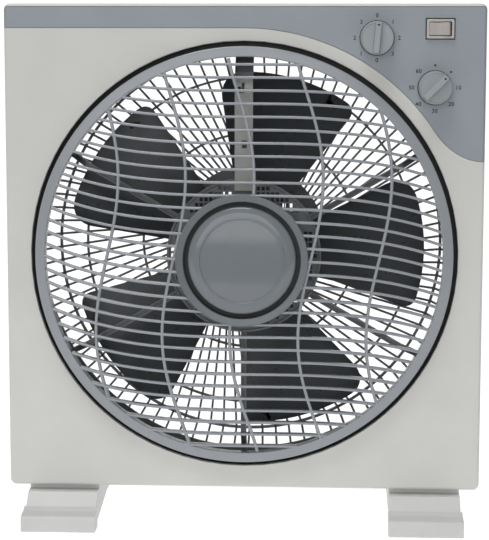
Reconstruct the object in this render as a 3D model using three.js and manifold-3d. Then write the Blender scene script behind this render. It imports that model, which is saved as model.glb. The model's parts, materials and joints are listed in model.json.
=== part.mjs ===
// A square box fan on two moulded feet: a louver grille that turns slowly in the front opening, a front
// support that carries the louver's motor, a five-blade impeller on a capacitor motor behind it, and a
// control panel in the top right corner.
// Millimetres, +Z up. The front faces -Y. The origin is the middle of the footprint.
import * as THREE from "three";
import { mergeVertices } from "three/addons/utils/BufferGeometryUtils.js";
import Module from "manifold-3d";

const wasm = await Module();
wasm.setup();

// ---------------------------------------------------------------- driving dimensions
const BODY_WIDTH = 390;
const BODY_HEIGHT = 398;
const FEET_HEIGHT = 31;
const FACE_Y = -65; // front face of the housing
const PARTING_Y = 0; // where the two shells meet
const BACK_Y = 35; // back face of the rear shell
const WALL = 3;
const CORNER_RADIUS = 5;
const EDGE_BEVEL = 2.5;
const FACE_THICKNESS = 4.5;
const REAR_WALL = 4;
const GAP = 0.3; // clearance between touching pieces
const FAR = 500; // past every piece, for tools that cut right through

const AXIS_Z = 224.4; // height of the fan's axis
const OPENING_RADIUS = 174.8; // front opening in the housing
const REAR_OPENING_RADIUS = 184;
const RIM_RADIUS = 170.6; // visible rim of the louver
const RIM_WIDTH = 8.5;
const FLANGE_RADIUS = 180.2; // the louver's hidden flange, which its drive wheel rolls on
const RIM_STAND = 7; // how far the louver's rim stands in front of the face
const DOME_RISE = 27.5; // how far the louver's middle stands in front of its rim
const IMPELLER_RADIUS = 150;
const SHAFT_RADIUS = 4;

const BODY_TOP = FEET_HEIGHT + BODY_HEIGHT;
const RIM_FRONT_Y = FACE_Y - RIM_STAND;
const FLANGE_FRONT_Y = FACE_Y + 13;
const FLANGE_BACK_Y = FLANGE_FRONT_Y + 3;
const DEGREE = Math.PI / 180;

// ---------------------------------------------------------------- materials
const plastic = (color, roughness) => new THREE.MeshStandardMaterial({ color, roughness, metalness: 0 });
const metal = (color, roughness) => new THREE.MeshStandardMaterial({ color, roughness, metalness: 1 });
const material = {
  shell: plastic(0xc6c6c2, 0.45),
  panel: plastic(0x8b9297, 0.4),
  foot: plastic(0xd8d8d5, 0.45),
  louver: plastic(0xa3a7ab, 0.4),
  cap: plastic(0x7c8186, 0.3),
  guard: plastic(0x6d7073, 0.5),
  blade: plastic(0x3a3f43, 0.3),
  darkPlastic: plastic(0x2b2d2f, 0.5),
  button: plastic(0xc8b8ac, 0.4),
  bezel: plastic(0xb0aca6, 0.45),
  nylon: plastic(0xe6e4dc, 0.5),
  steel: metal(0xb4b7ba, 0.35),
  zincScrew: metal(0x9a9da0, 0.4),
  lamination: metal(0x74777a, 0.6),
  copper: metal(0xb06a3a, 0.4),
  bronze: metal(0xa98a4e, 0.45),
};

// ---------------------------------------------------------------- geometry helpers
function solid(geometry) {
  const bare = new THREE.BufferGeometry();
  bare.setAttribute("position", geometry.getAttribute("position"));
  bare.setIndex(geometry.getIndex());
  const merged = mergeVertices(bare, 1e-4);
  const corners = [];
  const index = merged.index.array;
  for (let i = 0; i < index.length; i += 3) {
    const [a, b, c] = index.slice(i, i + 3);
    if (a !== b && b !== c && c !== a) corners.push(a, b, c);
  }
  return new wasm.Manifold(
    new wasm.Mesh({
      numProp: 3,
      vertProperties: merged.getAttribute("position").array,
      triVerts: new Uint32Array(corners),
    }),
  );
}

function geometryOf(body) {
  const mesh = body.getMesh();
  const geometry = new THREE.BufferGeometry();
  geometry.setAttribute("position", new THREE.BufferAttribute(mesh.vertProperties, 3));
  geometry.setIndex(new THREE.BufferAttribute(mesh.triVerts, 1));
  return geometry;
}

const join = (bodies) => bodies.reduce((whole, body) => whole.add(body));
const cut = (body, tools) => tools.reduce((rest, tool) => rest.subtract(tool), body);

// An outline drawn in X and Z, as seen from the front, made into a slab between two Y planes.
function slab(outline, yFront, yBack, curveSegments = 6) {
  const options = { depth: yBack - yFront, bevelEnabled: false, curveSegments };
  return solid(new THREE.ExtrudeGeometry(outline, options).rotateX(Math.PI / 2).translate(0, yBack, 0));
}

// The same, with rounded front and back edges. The bevel stays inside the outline.
function roundedSlab(outline, yFront, yBack, bevel, curveSegments = 3) {
  const geometry = new THREE.ExtrudeGeometry(outline, {
    depth: yBack - yFront - 2 * bevel,
    bevelThickness: bevel,
    bevelSize: bevel,
    bevelOffset: -bevel,
    bevelSegments: 2,
    curveSegments,
  });
  return solid(geometry.rotateX(Math.PI / 2).translate(0, yBack - bevel, 0));
}

// A profile of [radius, y] pairs turned about the Y axis. It closes on itself or along the axis.
function turned(profile, segments, x = 0, z = 0) {
  const points = profile.map(([radius, y]) => new THREE.Vector2(radius, y));
  if (THREE.ShapeUtils.area(points) < 0) points.reverse();
  const onAxis = points[0].x === 0 && points[points.length - 1].x === 0;
  if (!onAxis) points.push(points[0].clone());
  return solid(new THREE.LatheGeometry(points, segments).translate(x, 0, z));
}

const rod = (radius, yFront, yBack, segments, x = 0, z = 0) =>
  turned([[0, yFront], [radius, yFront], [radius, yBack], [0, yBack]], segments, x, z);

const ring = (inner, outer, yFront, yBack, segments, x = 0, z = 0) =>
  turned([[inner, yFront], [outer, yFront], [outer, yBack], [inner, yBack]], segments, x, z);

// An upright round post between two heights.
function post(radius, zLow, zHigh, segments, x, y) {
  const geometry = new THREE.CylinderGeometry(radius, radius, zHigh - zLow, segments);
  return solid(geometry.rotateX(Math.PI / 2).translate(x, y, (zLow + zHigh) / 2));
}

function box(xRange, yRange, zRange) {
  const [width, depth, height] = [xRange, yRange, zRange].map(([low, high]) => high - low);
  const middle = [xRange, yRange, zRange].map(([low, high]) => (low + high) / 2);
  return solid(new THREE.BoxGeometry(width, depth, height).translate(...middle));
}

function roundedRectangle(xLow, zLow, xHigh, zHigh, radius) {
  const outline = new THREE.Shape();
  outline.moveTo(xLow + radius, zLow);
  outline.lineTo(xHigh - radius, zLow);
  outline.absarc(xHigh - radius, zLow + radius, radius, -Math.PI / 2, 0);
  outline.absarc(xHigh - radius, zHigh - radius, radius, 0, Math.PI / 2);
  outline.absarc(xLow + radius, zHigh - radius, radius, Math.PI / 2, Math.PI);
  outline.absarc(xLow + radius, zLow + radius, radius, Math.PI, 1.5 * Math.PI);
  return outline;
}

// Moves each vertex of a body along Y by an amount that depends on its distance from the axis.
function dished(body, depthAt) {
  const geometry = geometryOf(body);
  const position = geometry.getAttribute("position");
  for (let i = 0; i < position.count; i += 1) {
    const radius = Math.hypot(position.getX(i), position.getZ(i));
    position.setY(i, position.getY(i) + depthAt(radius));
  }
  return solid(geometry);
}

const around = (radius, degrees) => {
  const angle = degrees * DEGREE;
  return [radius * Math.cos(angle), radius * Math.sin(angle)];
};

// ---------------------------------------------------------------- the scene graph
const fan = new THREE.Group();
const onAxis = new THREE.Group(); // pieces centred on the fan's axis
onAxis.position.z = AXIS_Z;
fan.add(onAxis);

function addPiece(name, body, look, parent = fan) {
  const mesh = new THREE.Mesh(geometryOf(body), look);
  mesh.name = name;
  parent.add(mesh);
  return mesh;
}

// ---------------------------------------------------------------- control places on the face
const SPEED = { x: 107, z: 401.6 };
const TIMER = { x: 153.9, z: 362 };
const ROCKER = { x: 157.6, z: 408.9, width: 23.2, height: 16.4 };
const BEZEL_LIP = 1.2; // how far the rocker's bezel laps over the edge of its hole
const CONTROL_SHAFT_RADIUS = 3;
const PANEL_THICKNESS = 2.2;
const PANEL_INSET = 2.6; // light border left round the panel at the housing's edge
const PANEL_ARC = { radius: 185.3, end: 33.5 }; // its lower edge follows the opening down to this angle
const PANEL_LOW_Z = 302.5; // where it meets the housing's right edge
const SHAFT_HOLE_RADIUS = 4.6;

// The panel is a strip along the top that widens round the opening in the right corner.
function panelOutline(clearance) {
  const left = -BODY_WIDTH / 2 + PANEL_INSET - clearance;
  const right = -left;
  const top = BODY_TOP - PANEL_INSET + clearance;
  const arcRadius = PANEL_ARC.radius - clearance;
  const [arcX] = around(arcRadius, PANEL_ARC.end);
  const cornerZ = PANEL_LOW_Z - clearance;
  const outline = new THREE.Shape();
  outline.moveTo(left, top);
  outline.lineTo(left, AXIS_Z + arcRadius);
  outline.lineTo(0, AXIS_Z + arcRadius);
  outline.absarc(0, AXIS_Z, arcRadius, Math.PI / 2, PANEL_ARC.end * DEGREE, true);
  outline.quadraticCurveTo(arcX + 16, cornerZ + 1, right, cornerZ);
  outline.lineTo(right, top);
  outline.closePath();
  return outline;
}

// A block at the rocker's place, smaller than its bezel all round by an inset.
function rockerBlock(inset, yFront, yBack) {
  const halfWidth = ROCKER.width / 2 - inset;
  const halfHeight = ROCKER.height / 2 - inset;
  return box(
    [ROCKER.x - halfWidth, ROCKER.x + halfWidth],
    [yFront, yBack],
    [ROCKER.z - halfHeight, ROCKER.z + halfHeight],
  );
}

const controlHoles = () => [
  rod(SHAFT_HOLE_RADIUS, -FAR, PARTING_Y, 12, SPEED.x, SPEED.z),
  rod(SHAFT_HOLE_RADIUS, -FAR, PARTING_Y, 12, TIMER.x, TIMER.z),
  rockerBlock(BEZEL_LIP - GAP, -FAR, PARTING_Y),
];

// ---------------------------------------------------------------- screws
// Modelled with the underside of the head at the origin and the shank pointing to -Y.
const SCREW = { head: 3.6, headHeight: 2.2, shank: 1.7 };

function screw(length) {
  const { head, headHeight, shank } = SCREW;
  const headProfile = [[0, headHeight], [head, headHeight], [head, 0]];
  const shankProfile = [[shank, 0], [shank, -length], [0, -length]];
  return turned([...headProfile, ...shankProfile], 6);
}

const screwHole = (yFront, yBack, x, z) => rod(SCREW.shank + GAP, yFront, yBack, 6, x, z);

const SHELL_SCREW_INSET = 14; // from the housing's edges
const SHELL_SCREWS = [-1, 1].flatMap((side) => [
  [side * (BODY_WIDTH / 2 - SHELL_SCREW_INSET), BODY_TOP - SHELL_SCREW_INSET],
  [side * (BODY_WIDTH / 2 - SHELL_SCREW_INSET), FEET_HEIGHT + SHELL_SCREW_INSET],
]);
const SHELL_SCREW_SEAT = BACK_Y - 2.6; // bottom of the head's recess in the rear shell
const SHELL_SCREW_LENGTH = 55;
const SHELL_SCREW_HOLE_END = -40;

const GUARD_EARS = [45, 135, 225, 315].map((angle) => around(193, angle));
const GUARD_FLANGE_BACK = BACK_Y - REAR_WALL - GAP;
const GUARD_FLANGE_FRONT = GUARD_FLANGE_BACK - 3;

// ---------------------------------------------------------------- housing
const housingOutline = (inset, radius) =>
  roundedRectangle(
    -BODY_WIDTH / 2 + inset,
    FEET_HEIGHT + inset,
    BODY_WIDTH / 2 - inset,
    BODY_TOP - inset,
    radius,
  );

const FOOT_X = 150.2; // middle of each foot
const FOOT_WIDTH = 60.8;
const FOOT_SCREW_Y = { front: -35, rear: 17 };
const FOOT_SCREW_SEAT = 24; // top of the head's recess in the foot
const FOOT_SCREW_LENGTH = 20;
const BOSS_RADIUS = 5;
const FOOT_BOSS_TOP = FEET_HEIGHT + 16;

const footBosses = (y) =>
  [-1, 1].map((side) => post(BOSS_RADIUS, FEET_HEIGHT - 1, FOOT_BOSS_TOP, 8, side * FOOT_X, y));
const footBossHoles = (y) =>
  [-1, 1].map((side) => post(SCREW.shank + GAP, 0, FOOT_BOSS_TOP - 2, 6, side * FOOT_X, y));

const RETAINER_DEPTH = 4; // of the retainers behind the louver's flange
const SUPPORT = {
  front: -60,
  plate: 3,
  dishRadius: 63.5,
  ringInner: 176,
  ringOuter: 184.5,
  ringFront: FLANGE_BACK_Y + RETAINER_DEPTH + GAP,
  ear: 5.5,
};
const SUPPORT_RING_BACK = SUPPORT.ringFront + 3;
const SUPPORT_EARS = [20, 160, 200, 340].map((angle) => around(187.5, angle));

const RETAINER_ANGLES = [52, 115, 225, 315];

const openFloor = () => box([-FAR, FAR], [-FAR, FAR], [-FAR, FEET_HEIGHT]);

function frontShell() {
  const behindFace = FACE_Y + FACE_THICKNESS;
  const overlong = PARTING_Y + 20; // the back edge's rounding is cut off with the rest behind the parting
  const hollow = slab(housingOutline(WALL, CORNER_RADIUS / 2), behindFace, overlong);
  const walls = roundedSlab(housingOutline(0, CORNER_RADIUS), FACE_Y, overlong, EDGE_BEVEL).subtract(hollow);
  const shellBosses = SHELL_SCREWS.map(([x, z]) => rod(BOSS_RADIUS, behindFace - 1, PARTING_Y, 8, x, z));
  const supportBosses = SUPPORT_EARS.map(([x, z]) =>
    rod(BOSS_RADIUS - 1, behindFace - 1, SUPPORT.ringFront - GAP, 8, x, AXIS_Z + z));
  const body = join([walls, ...shellBosses, ...supportBosses, ...footBosses(FOOT_SCREW_Y.front)]);
  return cut(body, [
    box([-FAR, FAR], [PARTING_Y, FAR], [-FAR, FAR]),
    openFloor(),
    rod(OPENING_RADIUS, -FAR, PARTING_Y, 60, 0, AXIS_Z),
    slab(panelOutline(GAP), FACE_Y - 5, FACE_Y + PANEL_THICKNESS + GAP, 16),
    ...controlHoles(),
    ...SHELL_SCREWS.map(([x, z]) => screwHole(SHELL_SCREW_HOLE_END, PARTING_Y + 5, x, z)),
    ...SUPPORT_EARS.map(([x, z]) => screwHole(FACE_Y + 3, PARTING_Y, x, AXIS_Z + z)),
    ...footBossHoles(FOOT_SCREW_Y.front),
  ]);
}

const CORD_GLAND = { x: 150, z: 62, radius: 6 };

function rearShell() {
  const insideBack = BACK_Y - REAR_WALL;
  const parting = PARTING_Y + GAP;
  const overlong = parting - 30;
  const walls = roundedSlab(housingOutline(0, CORNER_RADIUS), overlong, BACK_Y, CORNER_RADIUS - 0.5);
  const hollow = slab(housingOutline(WALL, CORNER_RADIUS / 2), overlong - 10, insideBack);
  const shellBosses = SHELL_SCREWS.map(([x, z]) => rod(BOSS_RADIUS, parting, insideBack + 1, 8, x, z));
  const body = join([walls.subtract(hollow), ...shellBosses, ...footBosses(FOOT_SCREW_Y.rear)]);
  return cut(body, [
    box([-FAR, FAR], [-FAR, parting], [-FAR, FAR]),
    openFloor(),
    rod(REAR_OPENING_RADIUS, insideBack - 1, FAR, 60, 0, AXIS_Z),
    rod(CORD_GLAND.radius + GAP, insideBack - 1, FAR, 16, CORD_GLAND.x, CORD_GLAND.z),
    ...SHELL_SCREWS.map(([x, z]) => screwHole(-FAR, FAR, x, z)),
    ...SHELL_SCREWS.map(([x, z]) => rod(SCREW.head + 0.5, SHELL_SCREW_SEAT, FAR, 8, x, z)),
    ...GUARD_EARS.map(([x, z]) => screwHole(insideBack - 1, FAR, x, AXIS_Z + z)),
    ...footBossHoles(FOOT_SCREW_Y.rear),
  ]);
}

const controlPanel = () =>
  cut(slab(panelOutline(0), FACE_Y - GAP, FACE_Y + PANEL_THICKNESS, 16), controlHoles());

// ---------------------------------------------------------------- feet
const TOE = { reach: 100, height: 12.9, soleEnd: 88, back: 81, flare: 1.4 };
const ARCH = { rise: 13, halfTop: 8 };
const SHELF = { depth: 7, lip: 4, height: 27 }; // the feet's top steps down just inside the housing's edges

// The side profile, in Y and Z: flat soles under the toes and a long arch between them.
function foot() {
  const top = FEET_HEIGHT - GAP;
  const bevel = 1.2;
  const outline = new THREE.Shape();
  outline.moveTo(-TOE.reach, 0);
  outline.lineTo(-TOE.soleEnd, 0);
  outline.lineTo(-ARCH.halfTop, ARCH.rise);
  outline.lineTo(ARCH.halfTop, ARCH.rise);
  outline.lineTo(TOE.soleEnd, 0);
  outline.lineTo(TOE.reach, 0);
  outline.lineTo(TOE.reach, TOE.height - 3);
  outline.quadraticCurveTo(TOE.reach, TOE.height, TOE.reach - 3, TOE.height);
  outline.lineTo(TOE.back + 6, TOE.height + 1.4);
  outline.lineTo(TOE.back, TOE.height + 3.9);
  outline.lineTo(BACK_Y + SHELF.lip, SHELF.height - 0.7);
  outline.lineTo(BACK_Y - SHELF.depth, SHELF.height);
  outline.lineTo(BACK_Y - SHELF.depth, top);
  outline.lineTo(FACE_Y + SHELF.depth, top);
  outline.lineTo(FACE_Y + SHELF.depth, SHELF.height);
  outline.lineTo(FACE_Y - SHELF.lip, SHELF.height - 0.7);
  outline.lineTo(-TOE.back, TOE.height + 3.9);
  outline.lineTo(-TOE.back - 6, TOE.height + 1.4);
  outline.lineTo(-TOE.reach + 3, TOE.height);
  outline.quadraticCurveTo(-TOE.reach, TOE.height, -TOE.reach, TOE.height - 3);
  outline.closePath();
  const geometry = new THREE.ExtrudeGeometry(outline, {
    depth: FOOT_WIDTH - 2 * bevel,
    bevelThickness: bevel,
    bevelSize: bevel,
    bevelOffset: -bevel,
    bevelSegments: 1,
    curveSegments: 3,
  });
  const yzx = new THREE.Matrix4().makeBasis(
    new THREE.Vector3(0, 1, 0),
    new THREE.Vector3(0, 0, 1),
    new THREE.Vector3(1, 0, 0),
  );
  geometry.translate(0, 0, -FOOT_WIDTH / 2 + bevel).applyMatrix4(yzx);
  const screwHoles = Object.values(FOOT_SCREW_Y).flatMap((y) => [
    post(SCREW.shank + GAP, 0, FEET_HEIGHT + 5, 6, 0, y),
    post(SCREW.head + 0.6, -5, FOOT_SCREW_SEAT, 8, 0, y),
  ]);
  const halfMiddle = FOOT_WIDTH / 2 - TOE.flare;
  const sides = [[-FAR, -halfMiddle], [halfMiddle, FAR]].map((xRange) =>
    box(xRange, [-TOE.back, TOE.back], [-5, FEET_HEIGHT + 5]));
  return cut(solid(geometry), [...sides, ...screwHoles]);
}

// ---------------------------------------------------------------- louver grille
const SKIRT_THICKNESS = 2.5; // of the rim's outer wall, which runs back to the flange
const SLAT_PITCH = 10.4;
const SLAT_COUNT_EACH_SIDE = 15;
const SLAT_WIDTH = 2.6;
const SLAT_DEPTH = 7;
const SLAT_SWEEP = 23; // how much lower a slat's right end is than its middle
const BAR_REACH = RIM_RADIUS - 3;
const RIB_PITCH = 55;
const RIB_WIDTH = 2.8;
const RIB_SWAY = 9;
const RIB_HALF_WAVE = 0.72; // as a part of the ribs' reach
const HUB_RING_RADIUS = 53.2;
const HUB_RING_WIDTH = 5.8;
const HUB_CAP_RADIUS = 44.3;
const HUB_DISC_RADIUS = 32.5; // the sunken middle of the cap

const domeAt = (radius) => -DOME_RISE * Math.max(0, 1 - (radius / RIM_RADIUS) ** 2);

// A strip of constant width whose middle follows a curve, given as its two long edges.
function strip(near, far, yFront, yBack) {
  const outline = new THREE.Shape([...near, ...far.reverse()].map(([x, z]) => new THREE.Vector2(x, z)));
  return slab(outline, yFront, yBack);
}

const steps = (count) => Array.from({ length: count + 1 }, (_, i) => -1 + (2 * i) / count);

// The slats run across in a slow S: high at their left end and low at their right end.
function slat(row, yFront) {
  const height = (t) => row * SLAT_PITCH - SLAT_SWEEP * t ** 3;
  const edge = (offset) => steps(5).map((t) => [t * BAR_REACH, height(t) + offset]);
  return strip(edge(-SLAT_WIDTH / 2), edge(SLAT_WIDTH / 2), yFront, yFront + SLAT_DEPTH);
}

// The ribs run down in a wave.
function rib(column, yFront) {
  const sway = (t) => RIB_SWAY * (1 + 0.6 * t * t) * Math.sin((Math.PI * t) / RIB_HALF_WAVE);
  const edge = (offset) => steps(8).map((t) => [column * RIB_PITCH + sway(t) + offset, t * BAR_REACH]);
  return strip(edge(RIB_WIDTH / 2), edge(-RIB_WIDTH / 2), yFront, yFront + SLAT_DEPTH);
}

function louverGrille() {
  const front = RIM_FRONT_Y + 1;
  const rows = Array.from({ length: 2 * SLAT_COUNT_EACH_SIDE + 1 }, (_, i) => i - SLAT_COUNT_EACH_SIDE);
  const bars = join([...rows.map((row) => slat(row, front)), ...[-2, -1, 0, 1, 2].map((c) => rib(c, front))]);
  const field = ring(HUB_RING_RADIUS - 3, RIM_RADIUS - RIM_WIDTH + 2, front - 5, front + 20, 48);
  const rimInner = RIM_RADIUS - RIM_WIDTH;
  const skirtInner = RIM_RADIUS - SKIRT_THICKNESS;
  const rimBack = RIM_FRONT_Y + SLAT_DEPTH + 1;
  const rim = turned(
    [
      [rimInner, RIM_FRONT_Y],
      [RIM_RADIUS, RIM_FRONT_Y],
      [RIM_RADIUS, FLANGE_FRONT_Y],
      [FLANGE_RADIUS, FLANGE_FRONT_Y],
      [FLANGE_RADIUS, FLANGE_BACK_Y],
      [skirtInner, FLANGE_BACK_Y],
      [skirtInner, rimBack],
      [rimInner, rimBack],
    ],
    60,
  );
  return join([dished(bars.intersect(field), domeAt), rim, louverHub()]);
}

const HUB_FRONT_Y = RIM_FRONT_Y + domeAt(HUB_RING_RADIUS) - 1;
const HUB_FLOOR_Y = HUB_FRONT_Y + 9;

const SOCKET = { radius: 6, depth: 9.8 }; // behind the hub's floor, for the louver motor's shaft
const DRIVE = { radius: 20.5, depth: 16, shaft: 1.6, earReach: 28, earHalfWidth: 6, earDepth: 6 };

const louverHub = () =>
  turned(
    [
      [0, HUB_FLOOR_Y],
      [HUB_RING_RADIUS - HUB_RING_WIDTH, HUB_FLOOR_Y],
      [HUB_RING_RADIUS - HUB_RING_WIDTH, HUB_FRONT_Y],
      [HUB_RING_RADIUS, HUB_FRONT_Y],
      [HUB_RING_RADIUS, HUB_FLOOR_Y + 3],
      [SOCKET.radius, HUB_FLOOR_Y + 3],
      [SOCKET.radius, HUB_FLOOR_Y + SOCKET.depth],
      [DRIVE.shaft + 0.2, HUB_FLOOR_Y + SOCKET.depth],
      [DRIVE.shaft + 0.2, HUB_FLOOR_Y + 1.5],
      [0, HUB_FLOOR_Y + 1.5],
    ],
    32,
  );

// A shallow snap-in cap with a raised border round a slightly sunken disc.
const louverHubCap = () =>
  turned(
    [
      [0, HUB_FLOOR_Y - GAP],
      [HUB_CAP_RADIUS, HUB_FLOOR_Y - GAP],
      [HUB_CAP_RADIUS, HUB_FRONT_Y + 1.5],
      [HUB_CAP_RADIUS - 1.5, HUB_FRONT_Y],
      [HUB_DISC_RADIUS + 1.5, HUB_FRONT_Y - 0.8],
      [HUB_DISC_RADIUS, HUB_FRONT_Y],
      [0, HUB_FRONT_Y - 0.8],
    ],
    32,
  );

// A clip that hooks behind the louver's flange. Modelled at angle 0 and turned into place.
function retainer() {
  const front = FACE_Y + FACE_THICKNESS + GAP;
  const back = FLANGE_BACK_Y + RETAINER_DEPTH;
  const width = [-7, 7];
  const foot = box([FLANGE_RADIUS + 1, FLANGE_RADIUS + 11], [front, back], width);
  const lip = box([FLANGE_RADIUS - 6, FLANGE_RADIUS + 2], [FLANGE_BACK_Y + 0.5, back], width);
  return foot.add(lip);
}

// ---------------------------------------------------------------- front support and louver drive
const STRUT_WIDTH = 4.6;
const STRUT_DEPTH = 6;
const TOP_STRUT_WIDTH = 14.8;

// A bar that runs out from the axis. Its side view holds [radius, y] corners.
function radialBar(sideView, width, angle) {
  const outline = new THREE.Shape(sideView.map(([radius, y]) => new THREE.Vector2(radius, y)));
  const geometry = new THREE.ExtrudeGeometry(outline, { depth: width, bevelEnabled: false });
  return solid(geometry.translate(0, 0, -width / 2).rotateY(-angle * DEGREE));
}

// Along the front plane, then back past the louver's skirt and out behind its flange to the ring.
function supportStrut(width, angle) {
  const behindFlange = FLANGE_BACK_Y + 0.8;
  const outer = SUPPORT.ringOuter - 0.5;
  const sideView = [
    [SUPPORT.dishRadius - 4, SUPPORT.front],
    [150, SUPPORT.front],
    [162, behindFlange],
    [outer, behindFlange],
    [outer, SUPPORT_RING_BACK],
    [159, SUPPORT_RING_BACK],
    [147, SUPPORT.front + STRUT_DEPTH],
    [SUPPORT.dishRadius - 4, SUPPORT.front + STRUT_DEPTH],
  ];
  return radialBar(sideView, width, angle);
}

const DRIVE_EARS = [[-DRIVE.earReach, 0], [DRIVE.earReach, 0]];

// A round plate in front of the impeller, held by five narrow struts and a wide one at the top.
function frontSupport() {
  const plate = rod(SUPPORT.dishRadius, SUPPORT.front, SUPPORT.front + SUPPORT.plate, 32);
  const struts = [90, 150, 210, 270, 330, 30].map((angle) =>
    supportStrut(angle === 90 ? TOP_STRUT_WIDTH : STRUT_WIDTH, angle));
  const border = ring(SUPPORT.ringInner, SUPPORT.ringOuter, SUPPORT.ringFront, SUPPORT_RING_BACK, 48);
  const ears = SUPPORT_EARS.map(([x, z]) => rod(SUPPORT.ear, SUPPORT.ringFront, SUPPORT_RING_BACK, 8, x, z));
  const holes = [...SUPPORT_EARS, ...DRIVE_EARS].map(([x, z]) => screwHole(-FAR, FAR, x, z));
  return cut(join([plate, border, ...struts, ...ears]), holes);
}

// The cover over the louver motor's wires, on the front of the top strut.
function wiringCover() {
  const back = SUPPORT.front - GAP;
  const front = back - 4;
  const halfWidth = TOP_STRUT_WIDTH / 2;
  const body = box([-halfWidth, halfWidth], [front, back], [SUPPORT.dishRadius - 10, 146]);
  const slots = [89, 134].map((z) => box([-2.5, 2.5], [front - 2, front + 2], [z, z + 6]));
  return cut(body, slots);
}

// A flat geared motor with two ears, in front of the plate. Its shaft turns the louver's hub.
function louverMotor() {
  const back = SUPPORT.front - GAP;
  const can = rod(DRIVE.radius, back - DRIVE.depth, back, 20);
  const shaft = rod(DRIVE.shaft, HUB_FLOOR_Y + 2, back - DRIVE.depth + 1, 10);
  const earEnds = [-DRIVE.earReach, DRIVE.earReach];
  const bar = box(earEnds, [back - DRIVE.earDepth, back], [-DRIVE.earHalfWidth, DRIVE.earHalfWidth]);
  const roundEnds = earEnds.map((x) => rod(DRIVE.earHalfWidth, back - DRIVE.earDepth, back, 8, x));
  return cut(join([can, shaft, bar, ...roundEnds]), DRIVE_EARS.map(([x, z]) => screwHole(-FAR, FAR, x, z)));
}

// ---------------------------------------------------------------- rear guard
// A slotted basket: a shallow dish of swirled spokes and rings with steep sides.
const GUARD_PLANE_Y = 58; // front of the dish at its middle
const GUARD_THICKNESS = 3;
const GUARD_RINGS = [67, 106, 168]; // dish edge, middle ring, and the bend where the sides begin
const GUARD_SIDE_RADIUS = 180; // where the sides meet the flange
const GUARD_SPOKES = 30;
const SPOKE_OFFSET = 19; // how far each spoke's line misses the middle
const SPOKE_WIDTH = 2.2;
const GUARD_BORDER = { radius: 189, ear: 6.5 };
const MOTOR_SCREWS = [30, 150, 270].map((angle) => around(30, angle));
const DISH_DEPTH = 6; // how far the dish's middle stands behind its border

const guardDepthAt = (radius) => {
  const [dishEdge, , bend] = GUARD_RINGS;
  return -DISH_DEPTH * THREE.MathUtils.clamp((radius - dishEdge) / (bend - dishEdge), 0, 1);
};

// A flat spoke of the dish, whose line misses the middle by an offset.
function dishSpoke(inner, outer, angle) {
  const half = SPOKE_WIDTH / 2;
  const middle = new THREE.Vector2();
  const outline = new THREE.Shape(
    [
      [inner, -SPOKE_OFFSET - half],
      [outer, -SPOKE_OFFSET - half],
      [outer, -SPOKE_OFFSET + half],
      [inner, -SPOKE_OFFSET + half],
    ].map(([x, z]) => new THREE.Vector2(x, z).rotateAround(middle, angle * DEGREE)),
  );
  return slab(outline, GUARD_PLANE_Y, GUARD_PLANE_Y + GUARD_THICKNESS);
}

// A steep bar of the side, from the bend to the flange.
function sideBar(angle) {
  const bend = GUARD_RINGS[2];
  const bendFront = GUARD_PLANE_Y - DISH_DEPTH;
  const sideView = [
    [bend - 1.1, bendFront + 0.5],
    [GUARD_SIDE_RADIUS - 1.5, GUARD_FLANGE_FRONT + 0.3],
    [GUARD_SIDE_RADIUS + 3, GUARD_FLANGE_FRONT + 0.3],
    [bend + 1.1, bendFront + GUARD_THICKNESS - 0.3],
  ];
  return radialBar(sideView, SPOKE_WIDTH, angle);
}

function rearGuard() {
  const back = GUARD_PLANE_Y + GUARD_THICKNESS;
  const [dishEdge, , bend] = GUARD_RINGS;
  const swirl = Math.asin(SPOKE_OFFSET / bend) / DEGREE;
  const angles = Array.from({ length: GUARD_SPOKES }, (_, i) => 90 + (i * 360) / GUARD_SPOKES);
  const spokes = angles.map((angle) => dishSpoke(dishEdge - 4, bend, angle + swirl));
  const rings = GUARD_RINGS.slice(1).map((radius) =>
    ring(radius - 1.2, radius + 1.2, GUARD_PLANE_Y, back, 30));
  const plate = rod(dishEdge, GUARD_PLANE_Y, back, 24);
  const dish = dished(join([plate, ...rings, ...spokes]), guardDepthAt);
  const sides = angles.map(sideBar);
  const flange = ring(GUARD_SIDE_RADIUS, GUARD_BORDER.radius, GUARD_FLANGE_FRONT, GUARD_FLANGE_BACK, 30);
  const ears = GUARD_EARS.map(([x, z]) =>
    rod(GUARD_BORDER.ear, GUARD_FLANGE_FRONT, GUARD_FLANGE_BACK, 8, x, z));
  const holes = [...GUARD_EARS, ...MOTOR_SCREWS].map(([x, z]) => screwHole(-FAR, FAR, x, z));
  return cut(join([dish, flange, ...sides, ...ears]), holes);
}

// ---------------------------------------------------------------- motor
const MOTOR = { radius: 42, wall: 1.8, front: -4, back: GUARD_PLANE_Y - GAP, split: 26 };
const MOTOR_SEGMENTS = 20;
const STACK = { front: 16, back: 36, outer: 39.6, inner: 22 };

function motorCover(yEnd, ySplit, boss) {
  const inward = Math.sign(ySplit - yEnd);
  const inner = MOTOR.radius - MOTOR.wall;
  return turned(
    [
      [SHAFT_RADIUS + 0.6, yEnd],
      [MOTOR.radius - 6, yEnd],
      [MOTOR.radius, yEnd + inward * 6],
      [MOTOR.radius, ySplit],
      [inner, ySplit],
      [inner, yEnd + inward * 7],
      [inner - 5, yEnd + inward * 2.5],
      [boss + 2.5, yEnd + inward * 2.5],
      [boss + 2.5, yEnd + inward * 10],
      [boss, yEnd + inward * 10],
      [boss, yEnd + inward * 1.8],
      [SHAFT_RADIUS + 0.6, yEnd + inward * 1.8],
    ],
    MOTOR_SEGMENTS,
  );
}

// The rear cover also carries the nuts that the guard's screws go into.
function motorRearCover() {
  const cover = motorCover(MOTOR.back, MOTOR.split, BEARING_RADIUS + 0.2);
  const nuts = MOTOR_SCREWS.map(([x, z]) => rod(4.5, MOTOR.back - 6, MOTOR.back - 1, 8, x, z));
  return cut(join([cover, ...nuts]), MOTOR_SCREWS.map(([x, z]) => screwHole(MOTOR.split, FAR, x, z)));
}

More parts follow.
